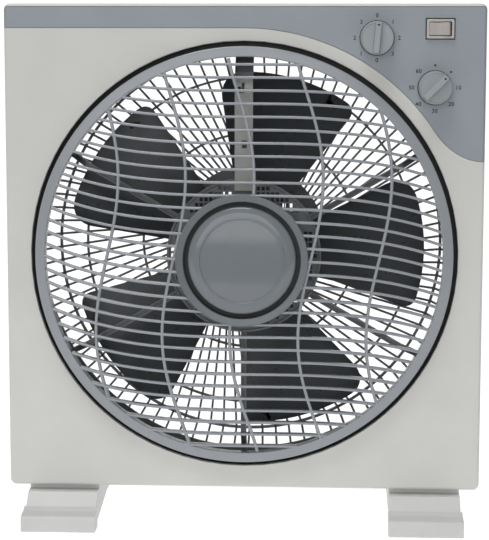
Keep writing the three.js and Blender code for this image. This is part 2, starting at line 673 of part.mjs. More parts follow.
const motorFrontCover = () => motorCover(MOTOR.front, MOTOR.split - GAP, BEARING_RADIUS + 0.2);

const BEARING_RADIUS = 8;
const bearing = (yFront, yBack) => ring(SHAFT_RADIUS + 0.1, BEARING_RADIUS, yFront, yBack, 12);

const statorCore = () => ring(STACK.inner, STACK.outer, STACK.front, STACK.back, MOTOR_SEGMENTS);
const winding = (yFront, yBack) => ring(STACK.inner + 3, STACK.outer - 4, yFront, yBack, MOTOR_SEGMENTS);
const rotorCore = () => ring(SHAFT_RADIUS + 0.15, STACK.inner - 0.5, STACK.front, STACK.back, MOTOR_SEGMENTS);

const SHAFT_FRONT_Y = -52;
const PIN_Y = -10;
const PIN_RADIUS = 1.25;

// The shaft has a cross hole for the pin that drives the impeller.
function motorShaft() {
  const hole = new THREE.CylinderGeometry(PIN_RADIUS + 0.15, PIN_RADIUS + 0.15, 20, 8);
  hole.rotateZ(Math.PI / 2).translate(0, PIN_Y, 0);
  return rod(SHAFT_RADIUS, SHAFT_FRONT_Y, MOTOR.back - 3, 12).subtract(solid(hole));
}

const drivePin = () => {
  const pin = new THREE.CylinderGeometry(PIN_RADIUS, PIN_RADIUS, 18, 8);
  return solid(pin.rotateZ(Math.PI / 2).translate(0, PIN_Y, 0));
};

// ---------------------------------------------------------------- impeller
const HUB = { radius: 36, front: -38, back: -7 };
const BLADE_COUNT = 5;
const BLADE = {
  rootRadius: 31,
  leadingAngle: -20, // the edge that goes first, on the clockwise side as seen from the front
  trailingAngle: 26.5,
  thickness: 2,
  middleY: -22,
  rootHalfRise: 11,
  tipHalfRise: 16,
  leadingCorner: 10,
  trailingCorner: 20,
  camber: 5,
};

// How much shorter the blade is at this distance from a corner that is rounded by a given radius.
const cornerLoss = (distance, radius) =>
  distance >= radius ? 0 : radius - Math.sqrt(radius ** 2 - (radius - distance) ** 2);

function bladePoint(u, v, side) {
  const spread = BLADE.trailingAngle - BLADE.leadingAngle;
  const tipChord = IMPELLER_RADIUS * spread * DEGREE;
  const lost =
    cornerLoss(v * tipChord, BLADE.leadingCorner) + cornerLoss((1 - v) * tipChord, BLADE.trailingCorner);
  const radius = BLADE.rootRadius + u * (IMPELLER_RADIUS - lost - BLADE.rootRadius);
  const angle = (BLADE.leadingAngle + v * spread) * DEGREE;
  const halfRise = THREE.MathUtils.lerp(BLADE.rootHalfRise, BLADE.tipHalfRise, u);
  const camber = BLADE.camber * u * (1 - (2 * v - 1) ** 2);
  const y = BLADE.middleY + halfRise * (1 - 2 * v) + camber + side * BLADE.thickness;
  return [radius * Math.cos(angle), y, radius * Math.sin(angle)];
}

// One blade as a closed sheet: a front and a back surface over the same grid, joined at the border.
function blade() {
  const spans = [0, 0.33, 0.67, 1];
  const chords = [0, 0.03, 0.08, 0.35, 0.65, 0.86, 0.95, 1];
  const columns = chords.length;
  const perSide = spans.length * columns;
  const positions = [0, 1].flatMap((side) =>
    spans.flatMap((u) => chords.flatMap((v) => bladePoint(u, v, side))));
  const at = (side, row, column) => side * perSide + row * columns + column;
  const faces = [];
  const quad = (a, b, c, d) => faces.push(a, b, c, a, c, d);
  for (let row = 0; row < spans.length - 1; row += 1) {
    for (let column = 0; column < columns - 1; column += 1) {
      quad(at(0, row, column), at(0, row + 1, column), at(0, row + 1, column + 1), at(0, row, column + 1));
      quad(at(1, row, column), at(1, row, column + 1), at(1, row + 1, column + 1), at(1, row + 1, column));
    }
    const last = columns - 1;
    quad(at(0, row, 0), at(1, row, 0), at(1, row + 1, 0), at(0, row + 1, 0));
    quad(at(0, row, last), at(0, row + 1, last), at(1, row + 1, last), at(1, row, last));
  }
  for (let column = 0; column < columns - 1; column += 1) {
    const tip = spans.length - 1;
    quad(at(0, 0, column), at(0, 0, column + 1), at(1, 0, column + 1), at(1, 0, column));
    quad(at(0, tip, column), at(1, tip, column), at(1, tip, column + 1), at(0, tip, column + 1));
  }
  const geometry = new THREE.BufferGeometry();
  geometry.setAttribute("position", new THREE.Float32BufferAttribute(positions, 3));
  geometry.setIndex(faces);
  return geometry;
}

function impeller() {
  const hub = turned(
    [
      [SHAFT_RADIUS + 0.15, HUB.front],
      [20, HUB.front],
      [30, HUB.front + 4],
      [HUB.radius, HUB.front + 13],
      [HUB.radius, HUB.back],
      [HUB.radius - 3, HUB.back],
      [HUB.radius - 3, HUB.front + 14],
      [12, HUB.front + 14],
      [12, HUB.back],
      [SHAFT_RADIUS + 0.15, HUB.back],
    ],
    30,
  );
  const blades = Array.from({ length: BLADE_COUNT }, (_, i) =>
    solid(blade().rotateY((-i * 2 * Math.PI) / BLADE_COUNT)),
  );
  const core = rod(HUB.radius - 2, -FAR, FAR, 30);
  const pinSlot = box([-9.5, 9.5], [PIN_Y - PIN_RADIUS - 0.3, HUB.back + 1], [-1.6, 1.6]);
  return cut(join([hub, ...blades.map((body) => body.subtract(core))]), [pinSlot]);
}

const spinnerNut = () =>
  turned(
    [
      [SHAFT_RADIUS + 0.15, HUB.front - GAP],
      [14, HUB.front - GAP],
      [13, HUB.front - 8],
      [7, HUB.front - 12],
      [SHAFT_RADIUS + 0.15, HUB.front - 12],
    ],
    16,
  );

// ---------------------------------------------------------------- switches and knobs
// Each control is modelled round the origin and placed by a group at its centre.
const KNOB_RADIUS = 13.3;

function switchBody(radius, depth) {
  const front = FACE_Y + FACE_THICKNESS + GAP;
  return turned(
    [
      [CONTROL_SHAFT_RADIUS + 0.2, front + 12],
      [CONTROL_SHAFT_RADIUS + 0.2, FACE_Y + 0.5],
      [4.2, FACE_Y + 0.5],
      [4.2, front],
      [radius, front],
      [radius, front + depth],
      [0, front + depth],
      [0, front + 12],
    ],
    16,
  );
}

const controlShaft = () => rod(CONTROL_SHAFT_RADIUS, FACE_Y - 11, FACE_Y + FACE_THICKNESS + 10, 12);

// A flat round knob with a raised bar across it, which points up when it is not turned.
function knob() {
  const back = FACE_Y - 0.9;
  const body = turned(
    [
      [0, FACE_Y - 12],
      [KNOB_RADIUS - 1, FACE_Y - 12],
      [KNOB_RADIUS, FACE_Y - 10.5],
      [KNOB_RADIUS, back - 2],
      [KNOB_RADIUS + 0.8, back - 2],
      [KNOB_RADIUS + 0.8, back],
      [0, back],
    ],
    20,
  );
  const bar = box([-2.8, 2.8], [FACE_Y - 17, FACE_Y - 11], [-KNOB_RADIUS + 1, KNOB_RADIUS - 1]);
  return cut(body.add(bar), [rod(CONTROL_SHAFT_RADIUS + 0.15, FACE_Y - 11.3, FACE_Y, 12)]);
}

function rockerBezel() {
  const flange = rockerBlock(0, FACE_Y - 2, FACE_Y - GAP - 0.2);
  const body = rockerBlock(BEZEL_LIP, FACE_Y - 1, FACE_Y + 20);
  const well = rockerBlock(BEZEL_LIP + 0.9, FACE_Y - 5, FACE_Y + 14);
  return flange.add(body).subtract(well);
}

const ROCKER_PIVOT_Y = FACE_Y + 3;
const ROCKER_TILT = 7;

// A shallow V in plan, drawn level and turned to the side that is pressed.
function rockerButton() {
  const outline = new THREE.Shape(
    [
      [-8.5, 6.5],
      [0, 4.6],
      [8.5, 6.5],
      [8.4, 3],
      [7.4, -5],
      [-7.4, -5],
      [-8.4, 3],
    ].map(([x, forward]) => new THREE.Vector2(x, forward)),
  );
  const half = ROCKER.height / 2 - 2.6;
  const geometry = new THREE.ExtrudeGeometry(outline, { depth: 2 * half, bevelEnabled: false });
  return solid(geometry.translate(0, 0, -half).rotateZ(Math.PI));
}

// ---------------------------------------------------------------- pieces on the shells
const capacitor = () => box([-132, -94], [-26, -10], [FEET_HEIGHT + WALL + GAP, 49]);

// A bushing through the rear wall with a collar behind it and a hole for the mains cord.
function cordGland() {
  const cordRadius = 3.4;
  const front = BACK_Y - 8;
  const back = BACK_Y + 2.5;
  const collarRadius = CORD_GLAND.radius + 2.5;
  return turned(
    [
      [cordRadius, front],
      [CORD_GLAND.radius, front],
      [CORD_GLAND.radius, BACK_Y + GAP],
      [collarRadius, BACK_Y + GAP],
      [collarRadius, back],
      [cordRadius, back],
    ],
    16,
    CORD_GLAND.x,
    CORD_GLAND.z,
  );
}

// ---------------------------------------------------------------- assembly
addPiece("front_shell", frontShell(), material.shell);
addPiece("rear_shell", rearShell(), material.shell);
addPiece("control_panel", controlPanel(), material.panel);
for (const [name, side] of [["left_foot", -1], ["right_foot", 1]]) {
  addPiece(name, foot(), material.foot).position.x = side * FOOT_X;
}

addPiece("louver_grille", louverGrille(), material.louver, onAxis);
addPiece("louver_hub_cap", louverHubCap(), material.cap, onAxis);
RETAINER_ANGLES.forEach((angle, i) => {
  const clip = addPiece(`louver_retainer_${i + 1}`, retainer(), material.nylon, onAxis);
  clip.rotation.y = -angle * DEGREE;
});

addPiece("front_support", frontSupport(), material.guard, onAxis);
addPiece("wiring_duct_cover", wiringCover(), material.guard, onAxis);
addPiece("louver_motor", louverMotor(), material.steel, onAxis);

addPiece("rear_guard", rearGuard(), material.guard, onAxis);

addPiece("motor_front_cover", motorFrontCover(), material.steel, onAxis);
addPiece("motor_rear_cover", motorRearCover(), material.steel, onAxis);
addPiece("front_bearing", bearing(MOTOR.front + 2.2, MOTOR.front + 9.5), material.bronze, onAxis);
addPiece("rear_bearing", bearing(MOTOR.back - 9.5, MOTOR.back - 2.2), material.bronze, onAxis);
addPiece("stator_core", statorCore(), material.lamination, onAxis);
addPiece("front_winding", winding(STACK.front - 9, STACK.front - GAP), material.copper, onAxis);
addPiece("rear_winding", winding(STACK.back + GAP, STACK.back + 9), material.copper, onAxis);
addPiece("rotor_core", rotorCore(), material.lamination, onAxis);
addPiece("motor_shaft", motorShaft(), material.steel, onAxis);
addPiece("impeller_drive_pin", drivePin(), material.steel, onAxis);
addPiece("impeller", impeller(), material.blade, onAxis);
addPiece("spinner_nut", spinnerNut(), material.blade, onAxis);

// A control's case, shaft and knob. Its names start with the control's name and its case's name.
function addControl(name, caseName, place, radius, depth, turn) {
  const group = new THREE.Group();
  group.position.set(place.x, 0, place.z);
  fan.add(group);
  addPiece(`${caseName}_body`, switchBody(radius, depth), material.darkPlastic, group);
  addPiece(`${caseName}_shaft`, controlShaft(), material.steel, group);
  addPiece(`${name}_knob`, knob(), material.panel, group).rotation.y = turn * DEGREE;
}
addControl("speed", "speed_switch", SPEED, 15, 17, 0);
addControl("timer", "timer", TIMER, 21, 27, 45);

addPiece("rocker_bezel", rockerBezel(), material.bezel);
const rocker = addPiece("rocker_button", rockerButton(), material.button);
rocker.position.set(ROCKER.x, ROCKER_PIVOT_Y, ROCKER.z);
rocker.rotation.z = -ROCKER_TILT * DEGREE;

addPiece("capacitor", capacitor(), material.darkPlastic);
addPiece("cord_gland", cordGland(), material.darkPlastic);

// Every screw points to -Y except the feet's, which point up.
function addScrews(name, length, places, seatY, parent = fan) {
  places.forEach(([x, z], i) => {
    addPiece(`${name}_${i + 1}`, screw(length), material.zincScrew, parent).position.set(x, seatY, z);
  });
}
addScrews("shell_screw", SHELL_SCREW_LENGTH, SHELL_SCREWS, SHELL_SCREW_SEAT + GAP);
addScrews("guard_screw", 9, GUARD_EARS, BACK_Y + GAP, onAxis);
addScrews("motor_screw", 8, MOTOR_SCREWS, GUARD_PLANE_Y + GUARD_THICKNESS + GAP, onAxis);
addScrews("support_screw", 8, SUPPORT_EARS, SUPPORT_RING_BACK + GAP, onAxis);
addScrews("louver_motor_screw", 8, DRIVE_EARS, SUPPORT.front + SUPPORT.plate + GAP, onAxis);
const footScrewPlaces = [-1, 1].flatMap((side) =>
  Object.values(FOOT_SCREW_Y).map((y) => [side * FOOT_X, y]));
footScrewPlaces.forEach(([x, y], i) => {
  const piece = addPiece(`foot_screw_${i + 1}`, screw(FOOT_SCREW_LENGTH), material.zincScrew);
  piece.position.set(x, y, FOOT_SCREW_SEAT - GAP);
  piece.rotation.x = -Math.PI / 2;
});

export default fan;
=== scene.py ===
"""The looks of a box fan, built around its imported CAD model.

Shapes are drawn in millimetres in the CAD's frame and scaled to metres when a mesh is made.
+Z is up, the front faces -Y, and the origin is the middle of the footprint.
"""

import json
import math

import bmesh
import bpy
from mathutils import Matrix, Vector


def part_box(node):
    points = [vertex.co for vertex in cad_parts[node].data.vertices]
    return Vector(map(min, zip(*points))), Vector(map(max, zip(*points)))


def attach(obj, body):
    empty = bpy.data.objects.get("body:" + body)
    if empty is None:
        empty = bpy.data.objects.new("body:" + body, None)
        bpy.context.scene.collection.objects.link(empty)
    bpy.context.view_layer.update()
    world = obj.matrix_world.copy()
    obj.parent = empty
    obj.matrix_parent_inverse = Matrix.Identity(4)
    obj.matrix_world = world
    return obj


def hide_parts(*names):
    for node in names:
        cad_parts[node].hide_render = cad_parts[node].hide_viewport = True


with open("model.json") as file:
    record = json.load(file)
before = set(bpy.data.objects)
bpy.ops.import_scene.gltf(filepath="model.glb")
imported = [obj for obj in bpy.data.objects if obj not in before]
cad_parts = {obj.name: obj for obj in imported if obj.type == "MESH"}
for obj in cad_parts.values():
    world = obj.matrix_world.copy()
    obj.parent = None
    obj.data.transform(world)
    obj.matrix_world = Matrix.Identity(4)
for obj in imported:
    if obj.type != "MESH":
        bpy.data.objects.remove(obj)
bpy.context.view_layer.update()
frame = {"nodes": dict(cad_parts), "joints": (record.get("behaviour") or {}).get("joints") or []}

# ---------------------------------------------------------------- places from the frame
MM = 0.001
joint_place = {joint["name"]: Vector(joint["pos_m"]) / MM for joint in frame["joints"]}
AXIS_Z = joint_place["fan_spin"].z
SPEED = joint_place["speed_knob_turn"]
TIMER = joint_place["timer_knob_turn"]
ROCKER = joint_place["rocker_tilt"]


def corners(node):
    low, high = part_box(node)
    return low / MM, high / MM


SHELL_LOW, SHELL_HIGH = corners("front_shell")
REAR_LOW, REAR_HIGH = corners("rear_shell")
FACE_Y = SHELL_LOW.y
BACK_Y = REAR_HIGH.y
HALF_WIDTH = SHELL_HIGH.x
MIDDLE_Z = (SHELL_LOW.z + SHELL_HIGH.z) / 2
HALF_HEIGHT = SHELL_HIGH.z - MIDDLE_Z

# ---------------------------------------------------------------- sizes
WALL = 3
FACE_THICKNESS = 4.5
REAR_WALL = 4
CORNER_RADIUS = 5
EDGE_ROUNDING = 2.5
OPENING_RADIUS = 174.8
REAR_OPENING_RADIUS = 184

PANEL_ARC = {"radius": 185.3, "end": 33.5}
PANEL_LOW_Z = 302.5
PANEL_TOP_INSET = 2.6
PANEL_SIDE_INSET = 1
PANEL_DEPTH = 2.2
PANEL_GROOVE = 0.4

RIM_RADIUS = 170.6
RIM_WIDTH = 8.5
RIM_FRONT_Y = FACE_Y - 7
FLANGE_RADIUS = 180.2
FLANGE_FRONT_Y = FACE_Y + 13
FLANGE_THICKNESS = 3
DOME_RISE = 27.5
SLAT_PITCH = 10.4
SLAT_ROWS = 15
SLAT_SWEEP = 23
RIB_PITCH = 55
RIB_SWAY = 9
RIB_HALF_WAVE = 0.72
BAR_REACH = RIM_RADIUS - 3
HUB_RING_RADIUS = 53.2
HUB_RING_WIDTH = 5.8
HUB_CAP_RADIUS = 44.3
HUB_FLOOR_DEPTH = 9

GUARD_PLANE_Y = 58
DISH_DEPTH = 6
DISH_RADIUS = 67
GUARD_RINGS = (95, 144.5)
BEND_RADIUS = 168
SIDE_RADIUS = 180
GUARD_BORDER = 189
GUARD_EAR_RADIUS = 6.5
GUARD_FLANGE_BACK = BACK_Y - REAR_WALL - 0.3
GUARD_FLANGE_FRONT = GUARD_FLANGE_BACK - 3
GUARD_SPOKES = 90
SPOKE_OFFSET = 19

BLADES = 5
IMPELLER_RADIUS = 150
KNOB_RADIUS = 13.3
KNOB_HEIGHT = 12
HEAD_HEIGHT = 2.2
TURN = 2 * math.pi
BACKWARD = Vector((0, 1, 0))


# ---------------------------------------------------------------- solids: (vertices, faces) pairs
def joined(*solids):
    vertices, faces = [], []
    for more_vertices, more_faces in solids:
        start = len(vertices)
        vertices += more_vertices
        faces += [[start + i for i in face] for face in more_faces]
    return vertices, faces


def lofted(rings, closed=False):
    """A skin over rings that have equally many points. An open skin is capped at both ends."""
    count = len(rings[0])
    vertices = [Vector(point) for ring in rings for point in ring]
    faces = []
    for row in range(len(rings) if closed else len(rings) - 1):
        near = row * count
        far = (row + 1) % len(rings) * count
        for i in range(count):
            j = (i + 1) % count
            faces.append([near + i, near + j, far + j, far + i])
    if not closed:
        faces.append(list(range(count)))
        faces.append([(len(rings) - 1) * count + i for i in range(count)])
    return vertices, faces


def circle(radius, y, segments, x=0, z=0):
    angles = [TURN * i / segments for i in range(segments)]
    return [(x + radius * math.cos(a), y, z + radius * math.sin(a)) for a in angles]


def turned(profile, segments=96, x=0, z=None):
    """A closed profile of (radius, y) points turned about an axis along Y, the fan's unless told."""
    centre_z = AXIS_Z if z is None else z
    return lofted([circle(radius, y, segments, x, centre_z) for radius, y in profile], closed=True)


def filleted(outline, steps=4):
    """A closed outline of (a, b, radius) corners, each rounded by its radius."""
    points = []
    for i, (a, b, radius) in enumerate(outline):
        here = Vector((a, b))
        if radius == 0:
            points.append(here)
            continue
        before = (Vector(outline[i - 1][:2]) - here).normalized()
        after = (Vector(outline[(i + 1) % len(outline)][:2]) - here).normalized()
        half = before.angle(after) / 2
        centre = here + (before + after).normalized() * (radius / math.sin(half))
        reach = radius / math.tan(half)
        start = here + before * reach - centre
        end = here + after * reach - centre
        first = math.atan2(start.y, start.x)
        swing = (math.atan2(end.y, end.x) - first + math.pi) % TURN - math.pi
        for step in range(steps + 1):
            angle = first + swing * step / steps
            points.append(centre + Vector((math.cos(angle), math.sin(angle))) * radius)
    return points


def prism(outline, y_front, y_back):
    """An outline of (x, z) points between two Y planes."""
    return lofted([[(x, y, z) for x, z in outline] for y in (y_front, y_back)])


def block(x_range, y_range, z_range):
    (x0, x1), (z0, z1) = x_range, z_range
    return prism([(x0, z0), (x1, z0), (x1, z1), (x0, z1)], *y_range)


def swept(path, section, upright=False):
    """A bar along a path. Its section holds (sideways, depth) offsets, and depth runs backward."""
    rings = []
    last = len(path) - 1
    for i, point in enumerate(path):
        along = (path[min(i + 1, last)] - path[max(i - 1, 0)]).normalized()
        sideways = Vector((along.z, 0, -along.x)).normalized()
        depth = BACKWARD if upright else along.cross(sideways)
        rings.append([point + sideways * side + depth * back for side, back in section])
    return lofted(rings)


def around(radius, degrees, y=0):
    angle = math.radians(degrees)
    return Vector((radius * math.cos(angle), y, AXIS_Z + radius * math.sin(angle)))


def moved(solid, matrix):
    vertices, faces = solid
    return [matrix @ vertex for vertex in vertices], faces


# ---------------------------------------------------------------- objects
def make_object(name, solid):
    vertices, faces = solid
    mesh = bpy.data.meshes.new(name)
    mesh.from_pydata([vertex * MM for vertex in vertices], [], faces)
    builder = bmesh.new()
    builder.from_mesh(mesh)
    bmesh.ops.remove_doubles(builder, verts=builder.verts, dist=1e-7)
    bmesh.ops.recalc_face_normals(builder, faces=builder.faces)
    builder.to_mesh(mesh)
    builder.free()
    made = bpy.data.objects.new(name, mesh)
    bpy.context.scene.collection.objects.link(made)
    return made


def carve(target, *cutters, operation="DIFFERENCE"):
    """Cuts solids out of an object for good, or keeps only what is inside them."""
    for cutter in cutters:
        tool = make_object("tool", cutter)
        modifier = target.modifiers.new("cut", "BOOLEAN")
        modifier.operation = operation
        modifier.solver = "EXACT"
        modifier.object = tool
        result = target.evaluated_get(bpy.context.evaluated_depsgraph_get())
        mesh = bpy.data.meshes.new_from_object(result)
        target.modifiers.clear()
        target.data = mesh
        bpy.data.objects.remove(tool)


def soften(target, width, segments=2, degrees=40):
    """Rounds an object's sharp edges."""
    modifier = target.modifiers.new("edges", "BEVEL")
    modifier.width = width * MM
    modifier.segments = segments
    modifier.limit_method = "ANGLE"
    modifier.angle_limit = math.radians(degrees)
    modifier.harden_normals = False


def shade(target, degrees=35):
    target.data.shade_smooth()
    target.data.set_sharp_from_angle(angle=math.radians(degrees))
    modifier = target.modifiers.new("normals", "WEIGHTED_NORMAL")
    modifier.keep_sharp = True


def piece(made, body, material, slot, *nodes, degrees=35):
    """Gives a made object its look, its body and the CAD nodes that it stands for. The slot is not
    used.
    """
    made.data.materials.clear()
    made.data.materials.append(material)
    shade(made, degrees)
    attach(made, body)
    if nodes:
        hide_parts(*nodes)


# ---------------------------------------------------------------- materials
def linear(value):
    channel = value / 255
    return channel / 12.92 if channel <= 0.04045 else ((channel + 0.055) / 1.055) ** 2.4


def colour(red, green, blue):
    return (linear(red), linear(green), linear(blue), 1)


def scaled(rgba, factor):
    return (*[min(1, channel * factor) for channel in rgba[:3]], 1)


class Look:
    """A node material with the few steps that the looks below share."""

    def __init__(self, name):
        self.material = bpy.data.materials.new(name)
        self.material.use_nodes = True
        self.nodes = self.material.node_tree.nodes
        self.links = self.material.node_tree.links
        self.shader = self.nodes["Principled BSDF"]
        self.place = self.nodes.new("ShaderNodeTexCoord").outputs["Object"]

    def stretched(self, scale=(1, 1, 1), centre=(0, 0, 0)):
        """Object coordinates, moved so that centre becomes the origin, then scaled."""
        mapping = self.nodes.new("ShaderNodeMapping")
        mapping.vector_type = "POINT"
        mapping.inputs["Location"].default_value = [-c * s for c, s in zip(centre, scale)]
        mapping.inputs["Scale"].default_value = scale
        self.links.new(self.place, mapping.inputs["Vector"])
        return mapping.outputs["Vector"]

    def noise(self, size, detail=2, place=None):
        """Noise whose features are about size millimetres wide."""
        noise = self.nodes.new("ShaderNodeTexNoise")
        noise.inputs["Scale"].default_value = 1 / (size * MM)
        noise.inputs["Detail"].default_value = detail
        self.links.new(place or self.place, noise.inputs["Vector"])
        return noise.outputs["Fac"]

    def wave(self, kind, axis, pitch, place=None):
        """Even bands or rings that repeat every pitch millimetres."""
        wave = self.nodes.new("ShaderNodeTexWave")
        wave.wave_type = kind
        if kind == "BANDS":
            wave.bands_direction = axis
        else:
            wave.rings_direction = axis
        wave.inputs["Scale"].default_value = math.pi / (10 * pitch * MM)
        self.links.new(place or self.place, wave.inputs["Vector"])
        return wave.outputs["Fac"]

    def between(self, factor, low, high):
        """A number that goes from low to high as the factor's middle range is crossed."""
        spread = self.nodes.new("ShaderNodeMapRange")
        spread.inputs["From Min"].default_value = 0.3
        spread.inputs["From Max"].default_value = 0.7
        spread.inputs["To Min"].default_value = low
        spread.inputs["To Max"].default_value = high
        self.links.new(factor, spread.inputs["Value"])
        return spread.outputs["Result"]

    def paint(self, factor, first, second):
        mix = self.nodes.new("ShaderNodeMix")
        mix.data_type = "RGBA"
        mix.inputs["A"].default_value = first
        mix.inputs["B"].default_value = second
        self.links.new(factor, mix.inputs["Factor"])
        self.links.new(mix.outputs["Result"], self.shader.inputs["Base Color"])

    def bump(self, height, depth, below=None):
        """Relief of a depth in millimetres, on top of other relief if there is any below."""
        bump = self.nodes.new("ShaderNodeBump")
        bump.inputs["Strength"].default_value = 1
        bump.inputs["Distance"].default_value = depth * MM
        self.links.new(height, bump.inputs["Height"])
        if below is not None:
            self.links.new(below, bump.inputs["Normal"])
        self.links.new(bump.outputs["Normal"], self.shader.inputs["Normal"])
        return bump.outputs["Normal"]


def moulded(name, base, roughness, grain=0.5, depth=0.006, mottle=0.025, sink=0.05):
    """Moulded plastic: cloudy colour, uneven gloss, slow sink marks and a fine mould grain."""
    look = Look(name)
    cloud = look.between(look.noise(38, 3), 0, 1)
    look.paint(cloud, scaled(base, 1 - mottle), scaled(base, 1 + mottle))
    gloss = look.between(look.noise(11, 4), roughness - 0.04, roughness + 0.05)
    look.links.new(gloss, look.shader.inputs["Roughness"])
    slow = look.bump(look.noise(55, 1), sink)
    look.bump(look.noise(grain, 2), depth, below=slow)
    look.shader.inputs["IOR"].default_value = 1.5
    return look.material


def metal(name, base, roughness, grain=0.4, depth=0.01, stretch=(1, 1, 1)):
    """Plated or turned metal with fine marks drawn out along one direction."""
    look = Look(name)
    place = look.stretched(stretch)
    look.paint(look.between(look.noise(6, 3), 0, 1), scaled(base, 0.9), scaled(base, 1.06))
    gloss = look.between(look.noise(3, 3, place), roughness - 0.08, roughness + 0.1)
    look.links.new(gloss, look.shader.inputs["Roughness"])
    look.bump(look.noise(grain, 2, place), depth)
    look.shader.inputs["Metallic"].default_value = 1
    return look.material


def wound(name, base):
    """Enamelled wire laid in rings round the fan's axis."""
    look = Look(name)
    place = look.stretched(centre=(0, 0, AXIS_Z * MM))
    wires = look.wave("RINGS", "Y", 0.9, place)
    look.paint(wires, scaled(base, 0.55), scaled(base, 1.1))
    look.bump(wires, 0.35)
    look.shader.inputs["Metallic"].default_value = 0.7
    look.shader.inputs["Roughness"].default_value = 0.35
    return look.material


def laminated(name, base):
    """Varnished steel sheets stacked along the fan's axis."""
    look = Look(name)
    sheets = look.wave("BANDS", "Y", 0.6)
    look.paint(sheets, scaled(base, 0.6), scaled(base, 1.1))
    look.bump(sheets, 0.1)
    look.shader.inputs["Metallic"].default_value = 0.85
    look.shader.inputs["Roughness"].default_value = 0.5
    return look.material


SHELL = moulded("shell_plastic_look", colour(200, 200, 196), 0.42)
PANEL = moulded("panel_plastic_look", colour(141, 148, 154), 0.36)
KNOB = moulded("knob_plastic_look", colour(148, 153, 157), 0.34)
FOOT = moulded("foot_plastic_look", colour(196, 197, 195), 0.42)
LOUVER = moulded("louver_plastic_look", colour(144, 148, 153), 0.22)
HUB_RING = moulded("hub_ring_look", colour(103, 108, 112), 0.36)
CAP = moulded("cap_plastic_look", colour(116, 121, 125), 0.12, depth=0.001, sink=0.01)
GUARD = moulded("guard_plastic_look", colour(130, 132, 134), 0.45)
DUCT = moulded("duct_plastic_look", colour(196, 196, 192), 0.5)
BLADE = moulded("blade_plastic_look", colour(56, 60, 64), 0.3, depth=0.003)
# Near black: the own colour of the dark parts, and painted shade on the louver's skirt and on the well
# behind the cap, which sit in deep grooves.
DARK_AND_SHADE = moulded("dark_plastic_and_painted_shade_look", colour(38, 40, 42), 0.5)
BUTTON = moulded("button_plastic_look", colour(170, 164, 160), 0.38)
BEZEL = moulded("bezel_plastic_look", colour(176, 175, 171), 0.42)
INK = moulded("printed_ink_look", colour(40, 43, 48), 0.6)
NYLON = moulded("nylon_look", colour(226, 224, 214), 0.5)
STEEL = metal("steel_look", colour(182, 185, 188), 0.36, stretch=(1, 6, 1))
SCREW = metal("screw_steel_look", colour(168, 170, 172), 0.32)
LAMINATION = laminated("lamination_look", colour(120, 124, 128))
COPPER = wound("copper_look", colour(186, 106, 58))
BRONZE = metal("bronze_look", colour(176, 140, 84), 0.42)


# ---------------------------------------------------------------- housing
def rounded_rectangle(inset, radius, corner_steps=8, side_steps=20):
    """The housing's outline from the front, smaller all round by an inset. It starts at the right."""
    half_width = HALF_WIDTH - inset
    half_height = HALF_HEIGHT - inset
    points = []
    for quarter in range(4):
        start = quarter * math.pi / 2
        sign_x = 1 if quarter in (0, 3) else -1
        sign_z = 1 if quarter in (0, 1) else -1
        x = sign_x * (half_width - radius)
        z = MIDDLE_Z + sign_z * (half_height - radius)
        arc = [
            Vector((x + radius * math.cos(start + a), z + radius * math.sin(start + a)))
            for a in [math.pi / 2 * step / corner_steps for step in range(corner_steps + 1)]
        ]
        points.append(arc)
    outline = []
    for arc, following in zip(points, points[1:] + points[:1]):
        outline += arc
        side = [arc[-1].lerp(following[0], step / side_steps) for step in range(1, side_steps)]
        outline += side
    return outline


def rectangle_ring(inset, radius, y):
    return [(x, y, z) for x, z in rounded_rectangle(inset, radius)]


def round_ring(radius, y):
    """A circle on the fan's axis whose points lie straight inward from the outline's points."""
    points = []
    for x, z in rounded_rectangle(0, CORNER_RADIUS):
        toward = Vector((x, z - AXIS_Z)).normalized() * radius
        points.append((toward.x, y, AXIS_Z + toward.y))
    return points


def shell_solid(parting, face, wall_inside, opening, rounding, direction):
    """Half of the housing. direction is 1 from the face toward the parting, along Y."""
    lip = 0.8
    rings = [rectangle_ring(0, CORNER_RADIUS, parting)]
    steps = 5
    for step in range(steps + 1):
        angle = math.pi / 2 * step / steps
        inset = rounding * (1 - math.cos(angle))
        y = face + direction * rounding * (1 - math.sin(angle))
        rings.append(rectangle_ring(inset, max(CORNER_RADIUS - inset, 0.6), y))
    for step in range(steps + 1):
        angle = math.pi / 2 * step / steps
        radius = opening + lip * (1 - math.sin(angle))
        rings.append(round_ring(radius, face + direction * lip * (1 - math.cos(angle))))
    rings.append(round_ring(opening, wall_inside))
    rings.append(rectangle_ring(WALL, CORNER_RADIUS - WALL, wall_inside))
    rings.append(rectangle_ring(WALL, CORNER_RADIUS - WALL, parting))
    return lofted(rings, closed=True)


def panel_outline(clearance):
    """A strip along the top that widens round the opening in the right corner."""
    left = -HALF_WIDTH + PANEL_SIDE_INSET - clearance
    right = -left
    top = SHELL_HIGH.z - PANEL_TOP_INSET + clearance
    radius = PANEL_ARC["radius"] - clearance
    steps = 40
    outline = [(left, top), (left, AXIS_Z + radius)]
    for step in range(steps + 1):
        angle = math.radians(90 + (PANEL_ARC["end"] - 90) * step / steps)
        outline.append((radius * math.cos(angle), AXIS_Z + radius * math.sin(angle)))
    start = Vector(outline[-1])
    low_z = PANEL_LOW_Z - clearance
    control = Vector((start.x + 16, low_z + 1))
    end = Vector((right, low_z))
    for step in range(1, 9):
        t = step / 8
        outline.append(tuple(start * (1 - t) ** 2 + control * 2 * t * (1 - t) + end * t * t))
    outline.append((right, top))
    return outline


KNOB_HOLE = KNOB_RADIUS + 0.75
ROCKER_HALF = (11, 7.7)
ROCKER_GROOVE = 0.9


